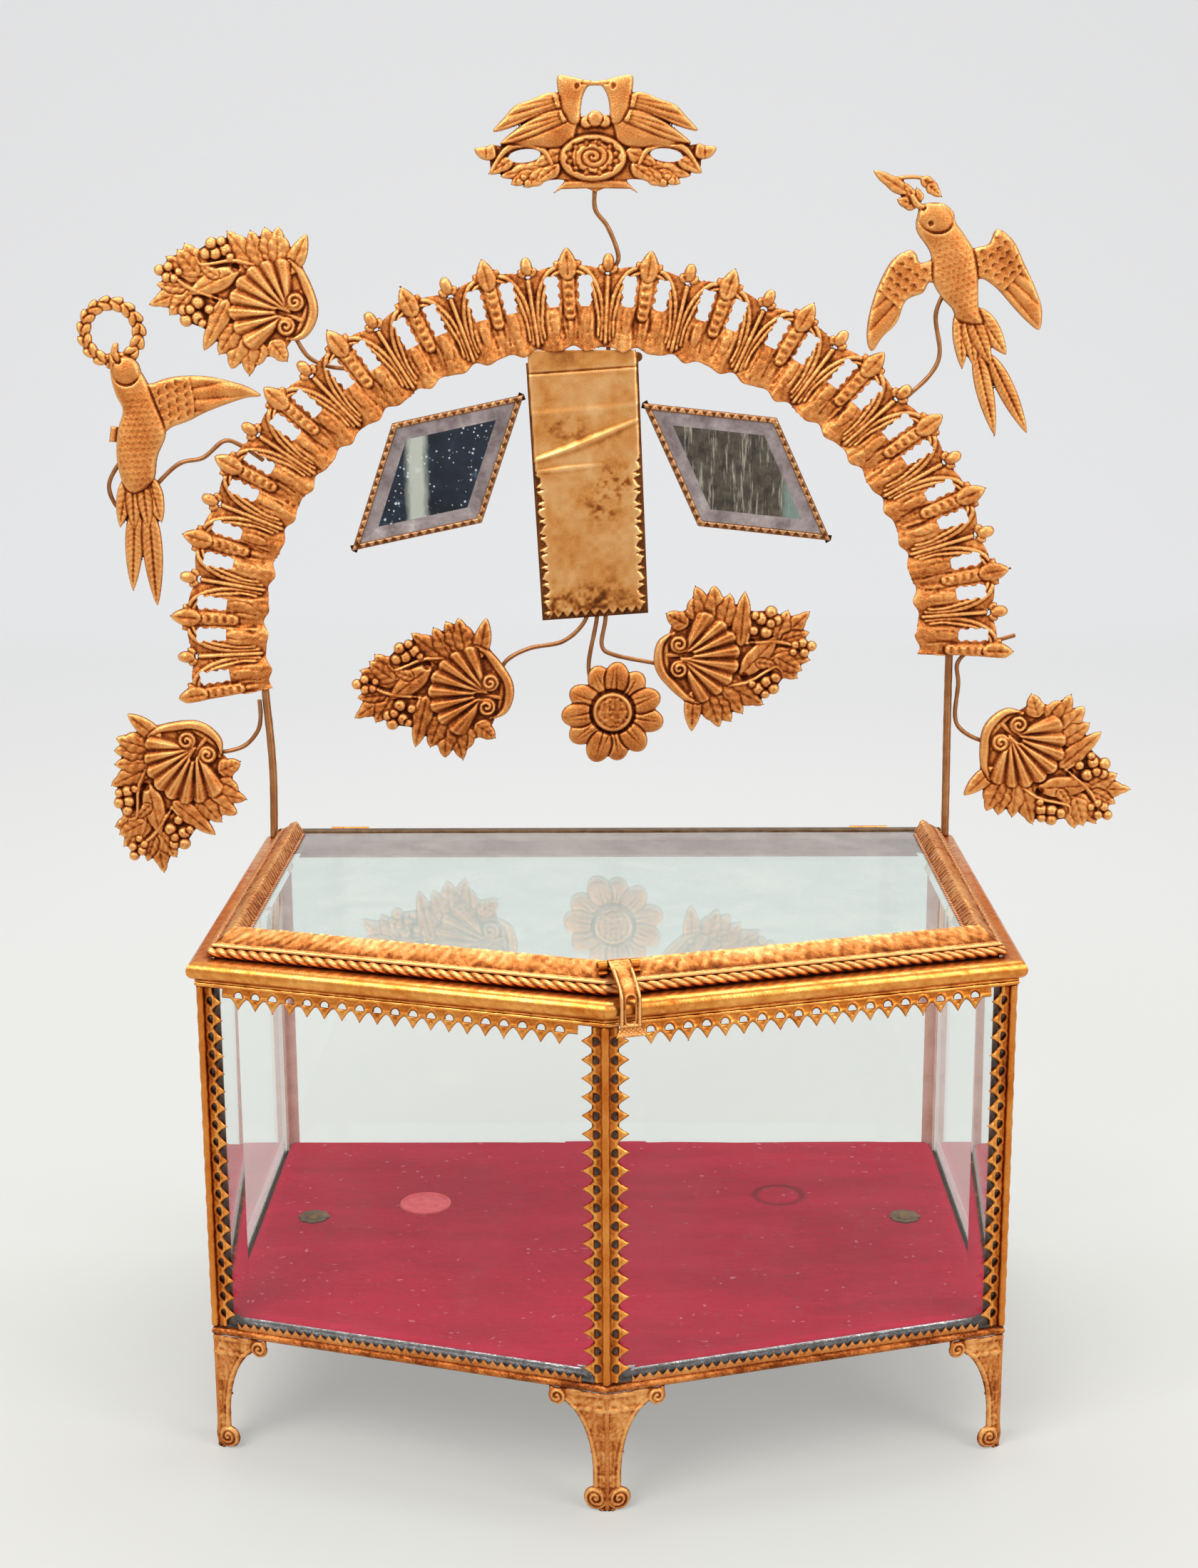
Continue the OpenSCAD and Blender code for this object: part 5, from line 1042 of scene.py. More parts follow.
def sweptTube(name, paths, radii, sides, material, swell=0.0):
    # each path gets rings square to it: the circle's two axes are turned from the heading;
    # the ends close to a dome of three smaller rings
    points, faces, base, caps = [], [], 0, []
    for path, radius in zip(paths, radii):
        p = np.asarray(path, float)
        run = np.gradient(p, axis=0)
        run /= np.linalg.norm(run, axis=1)[:, None]
        u = np.cross(run, [0, 1, 0])
        u /= np.linalg.norm(u, axis=1)[:, None]
        w = np.cross(u, run)
        a = np.linspace(0, 2 * pi, sides, endpoint=False)
        dome = np.array([0.0, 0.55, 0.85])
        end = np.sqrt(1 - (1 - dome) ** 2) * 0.98 + 0.02
        reach = (1 - dome) * radius * 0.6
        grow = np.concatenate([end, np.ones(len(p)), end[::-1]])
        shift = np.concatenate([-reach, np.zeros(len(p)), reach[::-1]])
        row = np.concatenate([[0, 0, 0], np.arange(len(p)), [len(p) - 1] * 3])
        length = travelled(p)[row]
        r = radius * grow * (1 + swell * np.sin(length * 0.9) * np.sin(length * 0.23))
        ring = (p[row] + run[row] * shift[:, None])[:, None, :] + r[:, None, None] * (
            u[row][:, None, :] * np.cos(a)[None, :, None] + w[row][:, None, :] * np.sin(a)[None, :, None])
        points.append(ring.reshape(-1, 3))
        faces.append(gridFaces(len(row), sides, closeColumns=True)[:, ::-1] + base)
        caps += [base + np.arange(sides), base + (len(row) - 1) * sides + np.arange(sides)[::-1]]
        base += len(row) * sides
    return meshObject(name, np.concatenate(points) * mm, np.concatenate(faces), material, caps=caps)


def uprightRod(name, spot, low, high, rings, *rest):
    # a tube that stands straight up over spot
    line = np.column_stack([np.broadcast_to(spot, (rings, 2)), np.linspace(low, high, rings)])
    return sweptTube(name, [line], *rest)


archTop, archRight, archLeft = (1.6, 407.4), (114.8, 357.8), (-143.4, 339.5)
archUpperLeft, archMiddle = (-106, 376.9), (-9.1, 379.6)
leftFoot, rightFoot = (-138.4, 181.3), (138.4, 181.3)
wireValues = {"radius": 0.9, "away": 113.1, "runs": [
    (archTop, [(-6, 34), (-6, 25), (-1, 18), (3, 7), (0.5, 1), (-1, -9), (-1, -24), (-1.5, -41)]),
    (archRight, [(18, 42), (15, 33), (17, 19), (14, 11), (6, 3), (-5, -6)]),
    (archLeft, [(-42, -19), (-39, -14.5), (-29, -5.5), (-19, -3), (-10.5, 3.5), (-4, 2), (5, -4)]),
    (archLeft, [(-48, -1), (-53.5, -6), (-57.5, -14), (-55, -22), (-48.5, -26)]),
    (archUpperLeft, [(-19, 10), (-17, 5.5), (-12.5, -1), (-5, -4.5), (6.5, -6.5), (12, -13)]),
    (leftFoot, [(-31, 34.5), (-20.5, 34.5), (-12, 37), (-6.5, 43), (-5, 49), (-5.2, 56)]),
    (rightFoot, [(24.5, 37.5), (14.5, 38.5), (6.5, 43), (3.9, 49), (4.8, 62), (4.4, 71), (11.5, 77),
                 (27, 82)]),
    (archMiddle, [(1, -98), (0, -109), (-9, -118), (-23, -121), (-32.5, -126), (-36, -133)]),
    (archMiddle, [(4.5, -96), (4.5, -108.5), (1, -129), (5, -140)]),
    (archMiddle, [(8, -98), (8, -109), (6.5, -120), (12, -124), (29, -127.5), (38, -130)])]}
paths = []
for anchor, points in wireValues["runs"]:
    flat = smoothCurve([(anchor[0] + x, anchor[1] + z) for x, z in points], closed=False, fine=9)
    paths.append(np.column_stack([flat[:, 0], np.full(len(flat), wireValues["away"]), flat[:, 1]]))
piece = sweptTube("crestWires", paths, [wireValues["radius"]] * len(paths), 14, metal["brownWire"], 0.05)
finish(piece, "casket", "copper_strip", "crest_wires")

uprightValues = {"radius": 1.6, "from": 105.35, "to": 113.8,
                 "left": (leftFoot, [(0, 0.3), (0, 24), (-1, 41), (-2.6, 58), (-2.8, 71)]),
                 "right": (rightFoot, [(0, 0.3), (0.3, 20), (0.5, 38), (0.8, 58), (0.8, 77)])}
for name in ("left", "right"):
    anchor, points = uprightValues[name]
    top = points[-2][1]
    flat = [(anchor[0] + x, uprightValues["from"] + (uprightValues["to"] - uprightValues["from"])
             * min(z / top, 1), anchor[1] + z) for x, z in points]
    piece = sweptTube("upright." + name, [smoothCurve(flat, closed=False, fine=12)],
                      [uprightValues["radius"]], 20, metal["brownWire"], 0.03)
    finish(piece, "casket", "stamped_brass", "upright_" + name)

# the box's five corners from the back left on, against the clock from above, and its sides
boxCorners = np.array([(-140, 106.55), (-140, -65.45), (0, -109.45), (140, -65.45), (140, 106.55)])
runs = np.roll(boxCorners, -1, 0) - boxCorners
sideLength = np.hypot(runs[:, 0], runs[:, 1])
alongSide = runs / sideLength[:, None]
inwardSide = np.stack([-alongSide[:, 1], alongSide[:, 0]], 1)
halfTurn = np.tan(np.arccos((alongSide * np.roll(alongSide, 1, 0)).sum(1)) / 2)
sideNames = ["left", "front_left", "front_right", "right", "back"]
cornerNames = ["back_left", "front_left", "front", "front_right", "back_right"]


def insetCorner(i, s):
    # where the lines s inwards of the two sides at corner i meet
    i, s = i % 5, np.asarray(s, float)[..., None]
    return boxCorners[i] + alongSide[i] * s * halfTurn[i] + inwardSide[i] * s


def sidePoints(i, k, along, inwards, up):
    # metres, from mm along side k (measured from corner i), inwards from it, and up
    plan = boxCorners[i] + alongSide[k] * along[:, None] + inwardSide[k] * inwards[:, None]
    return np.column_stack([plan, up]) * mm


def mitredBar(name, sides, profile, base, material, step, bump=None, crease=35):
    # profile rows are (inwards, up, tone) round a closed loop; each point runs from the mitre at one
    # corner to the mitre at the next; bump(length, girth, profile) gives how far it moves out and its tone
    profile = np.asarray(profile, float)
    edge = np.roll(profile, -1, 0) - np.roll(profile, 1, 0)
    normal = np.stack([edge[:, 1], -edge[:, 0]], 1)
    normal /= np.maximum(np.linalg.norm(normal, axis=1), 1e-9)[:, None]
    girth = travelled(profile[:, :2])
    rings, tones, start = [], [], 0.0
    for k, i in enumerate(sides):
        n = max(int(sideLength[i] / step), 2)
        t = np.linspace(0, 1, n + 1)[1 if k else 0:, None]
        length = start + t * sideLength[i]
        push, tone = bump(length, girth[None, :], profile) if bump else (0.0, profile[None, :, 2])
        push = np.broadcast_to(push, (len(t), len(profile)))
        tones.append(np.broadcast_to(tone, push.shape))
        s = profile[None, :, 0] + push * normal[None, :, 0]
        z = base + profile[None, :, 1] + push * normal[None, :, 1]
        a, b = insetCorner(i, s), insetCorner(i + 1, s)
        flat = a + (b - a) * t[:, :, None]
        rings.append(np.concatenate([flat, np.broadcast_to(z, s.shape)[..., None]], 2))
        start += sideLength[i]
    rings = np.concatenate(rings)
    count, m = rings.shape[:2]
    caps = [np.arange(m)[::-1], (count - 1) * m + np.arange(m)]
    piece = meshObject(name, rings.reshape(-1, 3) * mm, gridFaces(count, m, closeColumns=True), material,
                       caps=caps, crease=crease)
    setTone(piece, np.concatenate(tones))
    return piece


# rope: three strands laid to the right round a core
ropeValues = {"inset": 5.3, "up": 183.3, "radius": 1.72, "strandStep": 4.2, "valley": 0.24, "around": 24}
around = np.linspace(0, 2 * pi, ropeValues["around"], endpoint=False)
circle = np.stack([ropeValues["inset"] + ropeValues["radius"] * np.cos(around),
                   ropeValues["radius"] * np.sin(around)], 1)


def ropeTwist(length, girth, profile):
    # each strand is a bulge that turns once in three strand steps; its tone is dark in the valleys as grime
    # and painted shade, bright on the crowns as wear and painted highlight
    turn = np.arctan2(profile[:, 1], profile[:, 0] - ropeValues["inset"])[None, :] - 2 * pi * length / (
        3 * ropeValues["strandStep"])
    swell = np.abs(np.cos(1.5 * turn))
    return -ropeValues["radius"] * ropeValues["valley"] * (1 - swell), 1.3 * swell - 0.8


piece = mitredBar("lidRope", range(4), circle, ropeValues["up"], metal["railStrip"], 0.6, ropeTwist,
                  crease=None)
finish(piece, "lid", "copper_strip", "lid_rope")
print("stage 8: wires, uprights and rope")


def polishedGlass(name, v):
    # plate glass with polished bevels: clear, faintly green at the edges, a thin film of dust; its index is
    # set under the 1.52 of window glass, because the pale floor all round it would otherwise veil the inside;
    # light for shadows and for soft bounces passes straight through
    material, tree = newMaterial(name)
    at = addNode(tree, "TexCoord").outputs["Object"]
    smears = addNode(tree, "TexNoise", {"Vector": at, "Scale": 1 / (v["smear"] * mm), "Detail": 6,
                                        "Roughness": 0.7, "Distortion": 0.6})
    specks = addNode(tree, "TexNoise", {"Vector": at, "Scale": 1 / (v["speck"] * mm), "Detail": 1})
    film = addNode(tree, "MapRange", {"Value": smears, "From Min": 0.45, "From Max": 0.8,
                                      "To Max": v["film"]})
    spots = addNode(tree, "MapRange", {"Value": specks, "From Min": 0.7, "From Max": 0.78,
                                       "To Max": v["spots"]})
    dusty = addNode(tree, "Math", {0: film, 1: spots}, operation="ADD")
    rough = addNode(tree, "MapRange", {"Value": smears, "From Min": 0.3, "From Max": 0.8,
                                       "To Max": v["rough"]})
    clear = addNode(tree, "BsdfPrincipled", {"Base Color": v["tint"], "Roughness": rough, "IOR": v["index"],
                                             "Transmission Weight": 1.0})
    dust = addNode(tree, "BsdfDiffuse", {"Color": "#E8E6E0"})
    filmed = addNode(tree, "MixShader", {0: dusty, 1: clear, 2: dust})
    rays = addNode(tree, "LightPath")
    soft = addNode(tree, "Math", {0: rays.outputs["Is Shadow Ray"], 1: rays.outputs["Is Diffuse Ray"]},
                   operation="MAXIMUM")
    gone = addNode(tree, "BsdfTransparent", {"Color": v["shade"]})
    mixed = addNode(tree, "MixShader", {0: soft, 1: filmed, 2: gone})
    addNode(tree, "OutputMaterial", {"Surface": mixed})
    return material


paneGlass = polishedGlass("polishedGlass", {"smear": 35, "speck": 3, "film": 0.012, "spots": 0.02,
                                            "rough": 0.02, "index": 1.4, "tint": "#FAFDFC",
                                            "shade": "#F6F8F7"})
lidGlass = polishedGlass("polishedGlass.lid", {"smear": 22, "speck": 2, "film": 0.13, "spots": 0.12,
                                               "rough": 0.04, "index": 1.36, "tint": "#E9F3EF",
                                               "shade": "#F0F5F3"})


def cutVelvet(name, v):
    # cotton velvet with a short pile: deep where it is seen end on, pale in patches where the pile leans; the
    # patches follow its nap, their paleness a painted sheen
    material, tree = newMaterial(name)
    at = addNode(tree, "TexCoord").outputs["Object"]
    nap = addNode(tree, "Mapping", {"Vector": at, "Rotation": (0, 0, radians(v["lean"])),
                                    "Scale": (0.28, 1, 1)})
    leans = addNode(tree, "TexNoise", {"Vector": nap, "Scale": 1 / (v["patch"] * mm), "Detail": 5,
                                       "Roughness": 0.6, "Distortion": 0.4})
    fibre = addNode(tree, "TexNoise", {"Vector": nap, "Scale": 1 / (v["pile"] * mm), "Detail": 2})
    lint = addNode(tree, "TexNoise", {"Vector": at, "Scale": 1 / (v["lint"] * mm), "Detail": 0})
    relief = addNode(tree, "Attribute", attribute_name="relief")
    shade = addNode(tree, "Math", {0: leans, 1: 0.45, 2: 0.06}, operation="MULTIPLY_ADD")
    shade = addNode(tree, "Math", {0: fibre, 1: 0.35, 2: shade}, operation="MULTIPLY_ADD")
    shade = addNode(tree, "Math", {0: relief.outputs["Fac"], 1: 0.3, 2: shade}, operation="MULTIPLY_ADD")
    ramp = addNode(tree, "ValToRGB", {0: shade})
    setRamp(ramp, [(0.15, v["deep"]), (0.45, v["middle"]), (0.75, v["pale"])])
    fluff = addNode(tree, "MapRange", {"Value": lint, "From Min": 0.79, "From Max": 0.84, "To Max": 0.35})
    colour = addNode(tree, "Mix", {0: fluff, 6: ramp, 7: "#D99AA6"}, data_type="RGBA")
    bump = addNode(tree, "Bump", {"Height": fibre, "Strength": 0.5, "Distance": v["pile"] * 0.4 * mm})
    cloth = addNode(tree, "BsdfPrincipled", {"Base Color": colour.outputs[2], "Roughness": 0.95,
                                             "Specular IOR Level": 0.1, "Normal": bump})
    addNode(tree, "OutputMaterial", {"Surface": cloth})
    return material


velvet = cutVelvet("cutVelvet", {"lean": 4, "patch": 16, "pile": 0.9, "lint": 2.2, "deep": "#720014",
                                 "middle": "#A4002A", "pale": "#C60C3C"})
padValues = {"inset": 5.3, "bottom": 44.65, "top": 49.95, "edge": 1.4, "coarse": 2.0, "fine": 0.5,
             "markAt": (67, 43.5), "markRadius": 9.4, "markWide": 1.3, "markDeep": 0.55,
             "setBack": (4.2, 4.4, 4.2), "span": 190, "closeAt": 0.69, "closeReach": (12, 0.075),
             "crown": 0.35, "flatSpots": [((-72, 33.55), 12), ((-114.5, 21.55), 8), ((114.5, 21.55), 8)],
             "wallTone": -0.5, "frontSlope": 0.954}


def denser(low, high, coarse, fine, at, reach):
    # positions from low to high, close together within reach of the mark
    rough = np.linspace(low, high, int((high - low) / coarse) + 1)
    close = np.arange(at - reach, at + reach, fine)
    return np.unique(np.concatenate([rough[np.abs(rough - at) > reach], close, [low, high]]))


v = padValues
edges = np.array([insetCorner(i, v["inset"]) for i in range(5)])
edges[1:4, 1] += np.array(v["setBack"])  # the board stops short of the two front panes
x = denser(edges[0, 0], edges[4, 0], v["coarse"], v["fine"], v["markAt"][0], v["closeReach"][0])
x = np.unique(np.concatenate([x, [0.0]]))
t = denser(0, 1, v["coarse"] / v["span"], v["fine"] / v["span"], v["closeAt"], v["closeReach"][1])
frontY = np.interp(x, edges[[1, 2, 3], 0], edges[[1, 2, 3], 1])
x, t = np.meshgrid(x, t, indexing="ij")
y = frontY[:, None] + (edges[0, 1] - frontY[:, None]) * t
inside = np.minimum(np.minimum(edges[4, 0] - np.abs(x), edges[0, 1] - y),
                    (y - frontY[:, None]) * v["frontSlope"])
soft = unit(inside / v["edge"])
crown = v["crown"] * unit(inside / 45) ** 0.5
gap = np.hypot(x - v["markAt"][0], y - v["markAt"][1]) - v["markRadius"]
pressed = bell(gap / v["markWide"])
dimples = 0.16 * cellNoise(x, y, 26, 11) + 0.08 * cellNoise(x, y, 9, 12)
height = v["top"] - 0.3 - v["edge"] * (1 - np.sqrt(soft * (2 - soft))) + crown + dimples * soft - v[
    "markDeep"] * pressed
for place, reach in v["flatSpots"]:
    near = unit(1.6 - np.hypot(x - place[0], y - place[1]) / reach * 1.2)
    height = height * (1 - near) + (v["top"] - 0.02) * near
tone = -1.0 * pressed + 0.5 * unit((5 - inside) / 5)
rows, columns = x.shape
points = np.stack([x, y, height], -1).reshape(-1, 3)
rim = np.concatenate([np.arange(rows) * columns, (rows - 1) * columns + np.arange(1, columns),
                      np.arange(rows - 2, -1, -1) * columns + columns - 1, np.arange(columns - 2, 0, -1)])
low = points[rim].copy()
low[:, 2] = v["bottom"]
foot = len(points) + np.arange(len(rim))
walls = np.stack([np.roll(rim, -1), rim, foot, np.roll(foot, -1)], 1)
piece = meshObject("velvetPad", np.concatenate([points, low]) * mm,
                   np.concatenate([gridFaces(rows, columns)[:, ::-1], walls]), velvet, caps=[foot[::-1]])
setTone(piece, np.concatenate([tone.ravel(), np.full(len(low), v["wallTone"])]))
# the board's bare edge is grey, a painted reflection of the floor in the bottom bevel
piece.data.materials.append(metal["greyEdgeReflection"])
wallFaces = np.zeros(len(piece.data.polygons), dtype=np.int32)
wallFaces[-len(walls) - 1:] = 1
piece.data.polygons.foreach_set("material_index", wallFaces)
finish(piece, "casket", "crimson_velvet", "velvet_pad")  # velvet over a board with a bare edge


def redEnamel(name, v):
    # glossy red enamel on a thin disc: even, with dust in its ring
    material, tree = newMaterial(name)
    at = addNode(tree, "TexCoord").outputs["Object"]
    cloud = addNode(tree, "TexNoise", {"Vector": at, "Scale": 1 / (v["cloud"] * mm), "Detail": 4})
    ramp = addNode(tree, "ValToRGB", {0: cloud})
    setRamp(ramp, [(0.3, v["dark"]), (0.7, v["light"])])
    bump = addNode(tree, "Bump", {"Height": cloud, "Strength": 0.2, "Distance": 0.3 * mm})
    skin = addNode(tree, "BsdfPrincipled", {"Base Color": ramp, "Roughness": 0.5, "Normal": bump})
    addNode(tree, "OutputMaterial", {"Surface": skin})
    return material


enamel = redEnamel("redEnamel", {"cloud": 2.5, "dark": "#C92C3D", "light": "#E04C58"})
dress = [
    (paneGlass, ["glass_" + n for n in sideNames]),
    (lidGlass, ["lid_glass"]),
    (enamel, ["red_disc"]),
    # the base plate takes the same grey, a painted reflection of the floor
    (metal["greyEdgeReflection"], ["base_plate"]),
    (metal["darkBrass"], ["floor_studs", "lid_rail_back"]),
    (metal["giltBrass"], ["body_hinges", "lid_hinges", "hasp_hinge"]),
    (metal["brownWire"], ["hinge_pins", "hasp_pin"]),
]
for material, nodes in dress:
    for node in nodes:
        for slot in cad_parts[node].material_slots:
            slot.material = material
print("stage 9: glass, velvet and enamel")

bevelTilt = np.arctan(1 / 6)
glassValues = {"thick": 4.0, "edge": 2.0, "bottom": 44.0, "top": 180.6, "gap": 0.05, "came": 0.6}


def sidePlace(i, x0, v, tilt):
    # (x, z, lift) on a strip that stands on side i and leans inwards by tilt; v gives its place
    def place(x, z, lift):
        e = lift + v["thick"]
        y = v["inset"] - e * cos(tilt) + z * sin(tilt)
        return sidePoints(i, i, x0 + x, y, v["up"] + e * sin(tilt) + z * cos(tilt))
    return place


def cornerPlace(i, mirrored, arris, base, thick):
    # the same for a strip that stands on end at corner i and lies on the bevel beside it
    k, way = ((i - 1) % 5, -1) if mirrored else (i, 1)

    def place(x, z, lift):
        e = lift + thick
        aside = arris[0] + (-z - 0.2) * cos(bevelTilt) - e * sin(bevelTilt)
        inwards = arris[1] - glassValues["gap"] - (-z - 0.2) * sin(bevelTilt) - e * cos(bevelTilt)
        return sidePoints(i, k, way * aside, inwards, base + x)
    return place


def stripGrid(length, low, high, pitch, step):
    # grid of a strip with whole teeth in its middle, and for each point how far it is from its tooth's centre
    s = reliefGrid(0, length, low, high, step)
    s["x"] = np.minimum(s["x"], length)
    return s, (((s["x"] - (length - int(length / pitch) * pitch) / 2) / pitch) % 1 - 0.5) * pitch


toothValues = {"pitch": 6.4, "long": 6.6, "step": 0.42, "root": 0.4, "point": 1.5, "hole": (0.24, 0.3),
               "holeAt": 0.36}


def toothRelief(v, length, band, plain=False):
    # straight band, then pointed teeth with round scallops between and a half-oval hole over each
    # tip, each edge a raised line; plain has the band alone
    start = (length - int(length / v["pitch"]) * v["pitch"]) / 2
    s, u = stripGrid(length, -band - v["long"] - 0.5, 0, v["pitch"], v["step"])
    s["z"] = s["z"] - s["z"].max()
    x, z = s["x"], s["z"]
    side = np.where((x > start) & (x < length - start), 1 - np.abs(2 * u / v["pitch"]), 0)
    tooth = v["long"] * (v["root"] + (1 - v["root"]) * side ** v["point"])
    steep = v["long"] * (1 - v["root"]) * v["point"] * side ** (v["point"] - 1) * 2 / v["pitch"]
    body = (band + tooth + z) / np.hypot(1, steep)
    centre = -band - v["holeAt"] * v["long"]
    wide, tall = v["hole"][0] * v["pitch"], v["hole"][1] * v["long"]
    hole = np.minimum((1 - np.hypot(u / wide, (z - centre) / tall)) * wide, z - centre)
    hole = np.where(side > 0, hole, -3)
    if plain:
        body, hole = band + v["root"] * v["long"] + z, np.full(x.shape, -3.0)
    lay(s, body, 0.0, 0.25, 0.9, 0.05 * cellNoise(x, z, 0.9, 21))
    s["height"] += 0.22 * bell((body - 0.75) / 0.4) + 0.18 * bell((hole + 0.5) / 0.35)
    s["height"] += 0.15 * unit(disc({"x": u, "z": z}, (0, -band - 0.66 * v["long"]), 0.8))
    pierce(s, hole)
    # a random tone, darker round the rim of each hole
    s["stainAndShade"] = 0.3 * cellNoise(x, z, 4, 22) - 0.8 * bell((hole + 0.1) / 0.3)
    return s


def refined(profile, step):
    # closed loop with points added so that no side is longer than step
    p = np.asarray(profile, float)
    q = np.roll(p, -1, 0)
    n = np.maximum(np.ceil(np.linalg.norm((q - p)[:, :2], axis=1) / step).astype(int), 1)
    k = np.concatenate([np.arange(m) / m for m in n])
    return np.repeat(p, n, 0) + (np.repeat(q, n, 0) - np.repeat(p, n, 0)) * k[:, None]


def arc(centre, r, a, b, n, tone=0.0):
    # n profile points on a circle, from angle a to b in degrees
    t = np.radians(np.linspace(a, b, n))
    return [(centre[0] + r * cos(k), centre[1] + r * sin(k), tone) for k in t]


def grained(size, deep, seed, low=-9.0, high=99.0, strokes=0.0):
    # fine grain, with slanting strokes if asked, on the part of the loop between two heights
    def bump(length, girth, profile):
        x, r = np.broadcast_arrays(length, girth)
        on = (profile[None, :, 1] > low) & (profile[None, :, 1] < high)
        noise = cellNoise(x, r, size, seed) + 0.5 * cellNoise(x, r, size * 0.5, seed + 1)
        wide = cellNoise(x, r, size * 9, seed + 2)
        stroke = strokes * (np.abs(np.cos(pi * (x * 0.24 + r * 0.16 + 0.2 * wide))) - 0.6)
        return (deep * noise + stroke) * on, profile[None, :, 2] + (
            0.35 * noise + 0.3 * wide + 2.2 * stroke) * on
    return bump


# the third number of each profile point is its tone: dark under the beads, in the folds and on the undersides
# as grime and painted shade, bright on the crowns as wear and painted highlight
rimLoop = [(4.65, -3, 0), (4.65, 0.7, 0), (0.4, 0.7, 0.2), *arc((0.4, -2.5), 3.2, 100, 255, 16, 0.25),
           (0.42, -5.72, -0.9), *arc((0.317, -6.2), 0.6, 125, 235, 5, 0.5), (0.12, -6.72, -0.9),
           *arc((0.133, -7.3), 0.6, 130, 240, 5, 0.5), (-0.017, -8.2, -0.5), (0.583, -8.2, -0.5),
           (1.45, -3, 0), (1.95, 0, 0), (4.05, 0.05, 0), (4.05, -3, 0)]
sillLoop = [(11.95, -0.8, 0), (11.95, -0.05, 0), (1.95, -0.05, 0), (1.55, 2.4, -0.5), (0.95, 2.4, -0.8),
            (1.04, 1.95, -1), *arc((1.45, 0.6), 1.38, 115, 250, 8, -0.45), (1.02, -0.8, -1)]
railLoop = [(12.7, 0, 0), (12.7, 1.5, 0), (7.65, 1.5, 0), (7.65, 3.6, 0), (15.8, 4.95, 0), (15.8, 5.5, -0.2),
            (13.6, 8.7, 0), (12.8, 9.2, 0.5), (11.9, 8.9, 0.3), (9.4, 6.9, 0), (7.0, 4.95, -0.6),
            *arc((6.2, 3.9), 0.8, 50, 195, 7, 0.5), (5.42, 3.5, -0.9),
            *arc((5.3, 1.7), 1.76, 85, -74, 9, -0.7), (6.0, 0, -1), (6.0, -0.95, -1), (7.0, -0.95, -1),
            (7.0, 0, -1)]


barStep = 1.2
postValues = {"low": 46.45, "high": 172.35, "bead": 1.6, "ridge": 1.35, "leg": 4.0, "foil": 0.6,
              "thick": 0.35, "band": 1.6, "rings": 40, "ridgeRings": 300}
rimTeeth = {"band": 1.0, "inset": 0.667, "up": 172.9, "thick": 0.35}
sillTeeth = {"pitch": 3.2, "high": 3.6, "point": 3.2, "band": 0.95, "step": 0.3, "inset": 1.617, "up": 46.0,
             "thick": 0.3}


def arrisAt(i):
    # where the two bevels meet at a corner, and the width that its strips cover
    g = glassValues
    setback = g["thick"] * halfTurn[i] + g["came"] + g["gap"]
    deep = (g["thick"] - g["edge"] + setback / 6) / (1 + halfTurn[i] / 6)
    return setback, deep, deep * halfTurn[i] + postValues["band"] + toothValues["long"] + 0.3


for i, name in enumerate(sideNames):
    x0, x1 = arrisAt(i)[2], arrisAt((i + 1) % 5)[2]
    length = sideLength[i] - x0 - x1
    gilt = metal["paleStripReflection" if name == "back" else "giltBrass"]
    bar = mitredBar("rim." + name, [i], refined(rimLoop, barStep), glassValues["top"], gilt, barStep,
                    grained(1.6, 0.03, 31))
    finish(bar, "casket", "gilt_brass", "rim_" + name)
    strip = stampedSheet("rimTeeth." + name,
                         toothRelief(toothValues, length, rimTeeth["band"], name == "back"),
                         sidePlace(i, x0, rimTeeth, bevelTilt), gilt, thick=rimTeeth["thick"])
    finish(strip, "casket", "gilt_brass", "rim_" + name)
    bar = mitredBar("sill." + name, [i], refined(sillLoop, barStep), glassValues["bottom"],
                    metal["stampedBrass"], barStep, grained(1.0, 0.04, 41))
    finish(bar, "casket", "stamped_brass", "sill_" + name)
    if name == "back":
        continue
    s, u = stripGrid(length, 0, sillTeeth["high"], sillTeeth["pitch"], sillTeeth["step"])
    lay(s, np.maximum((sillTeeth["point"] - s["z"]) * 0.62 - np.abs(u) * 0.85 + 0.1, sillTeeth["band"]
                      - s["z"]), 0.0, 0.25, 0.6)
    strip = stampedSheet("sillTeeth." + name, s, sidePlace(i, x0, sillTeeth, -bevelTilt),
                         metal["stampedBrass"], thick=sillTeeth["thick"])
    finish(strip, "casket", "stamped_brass", "sill_" + name)

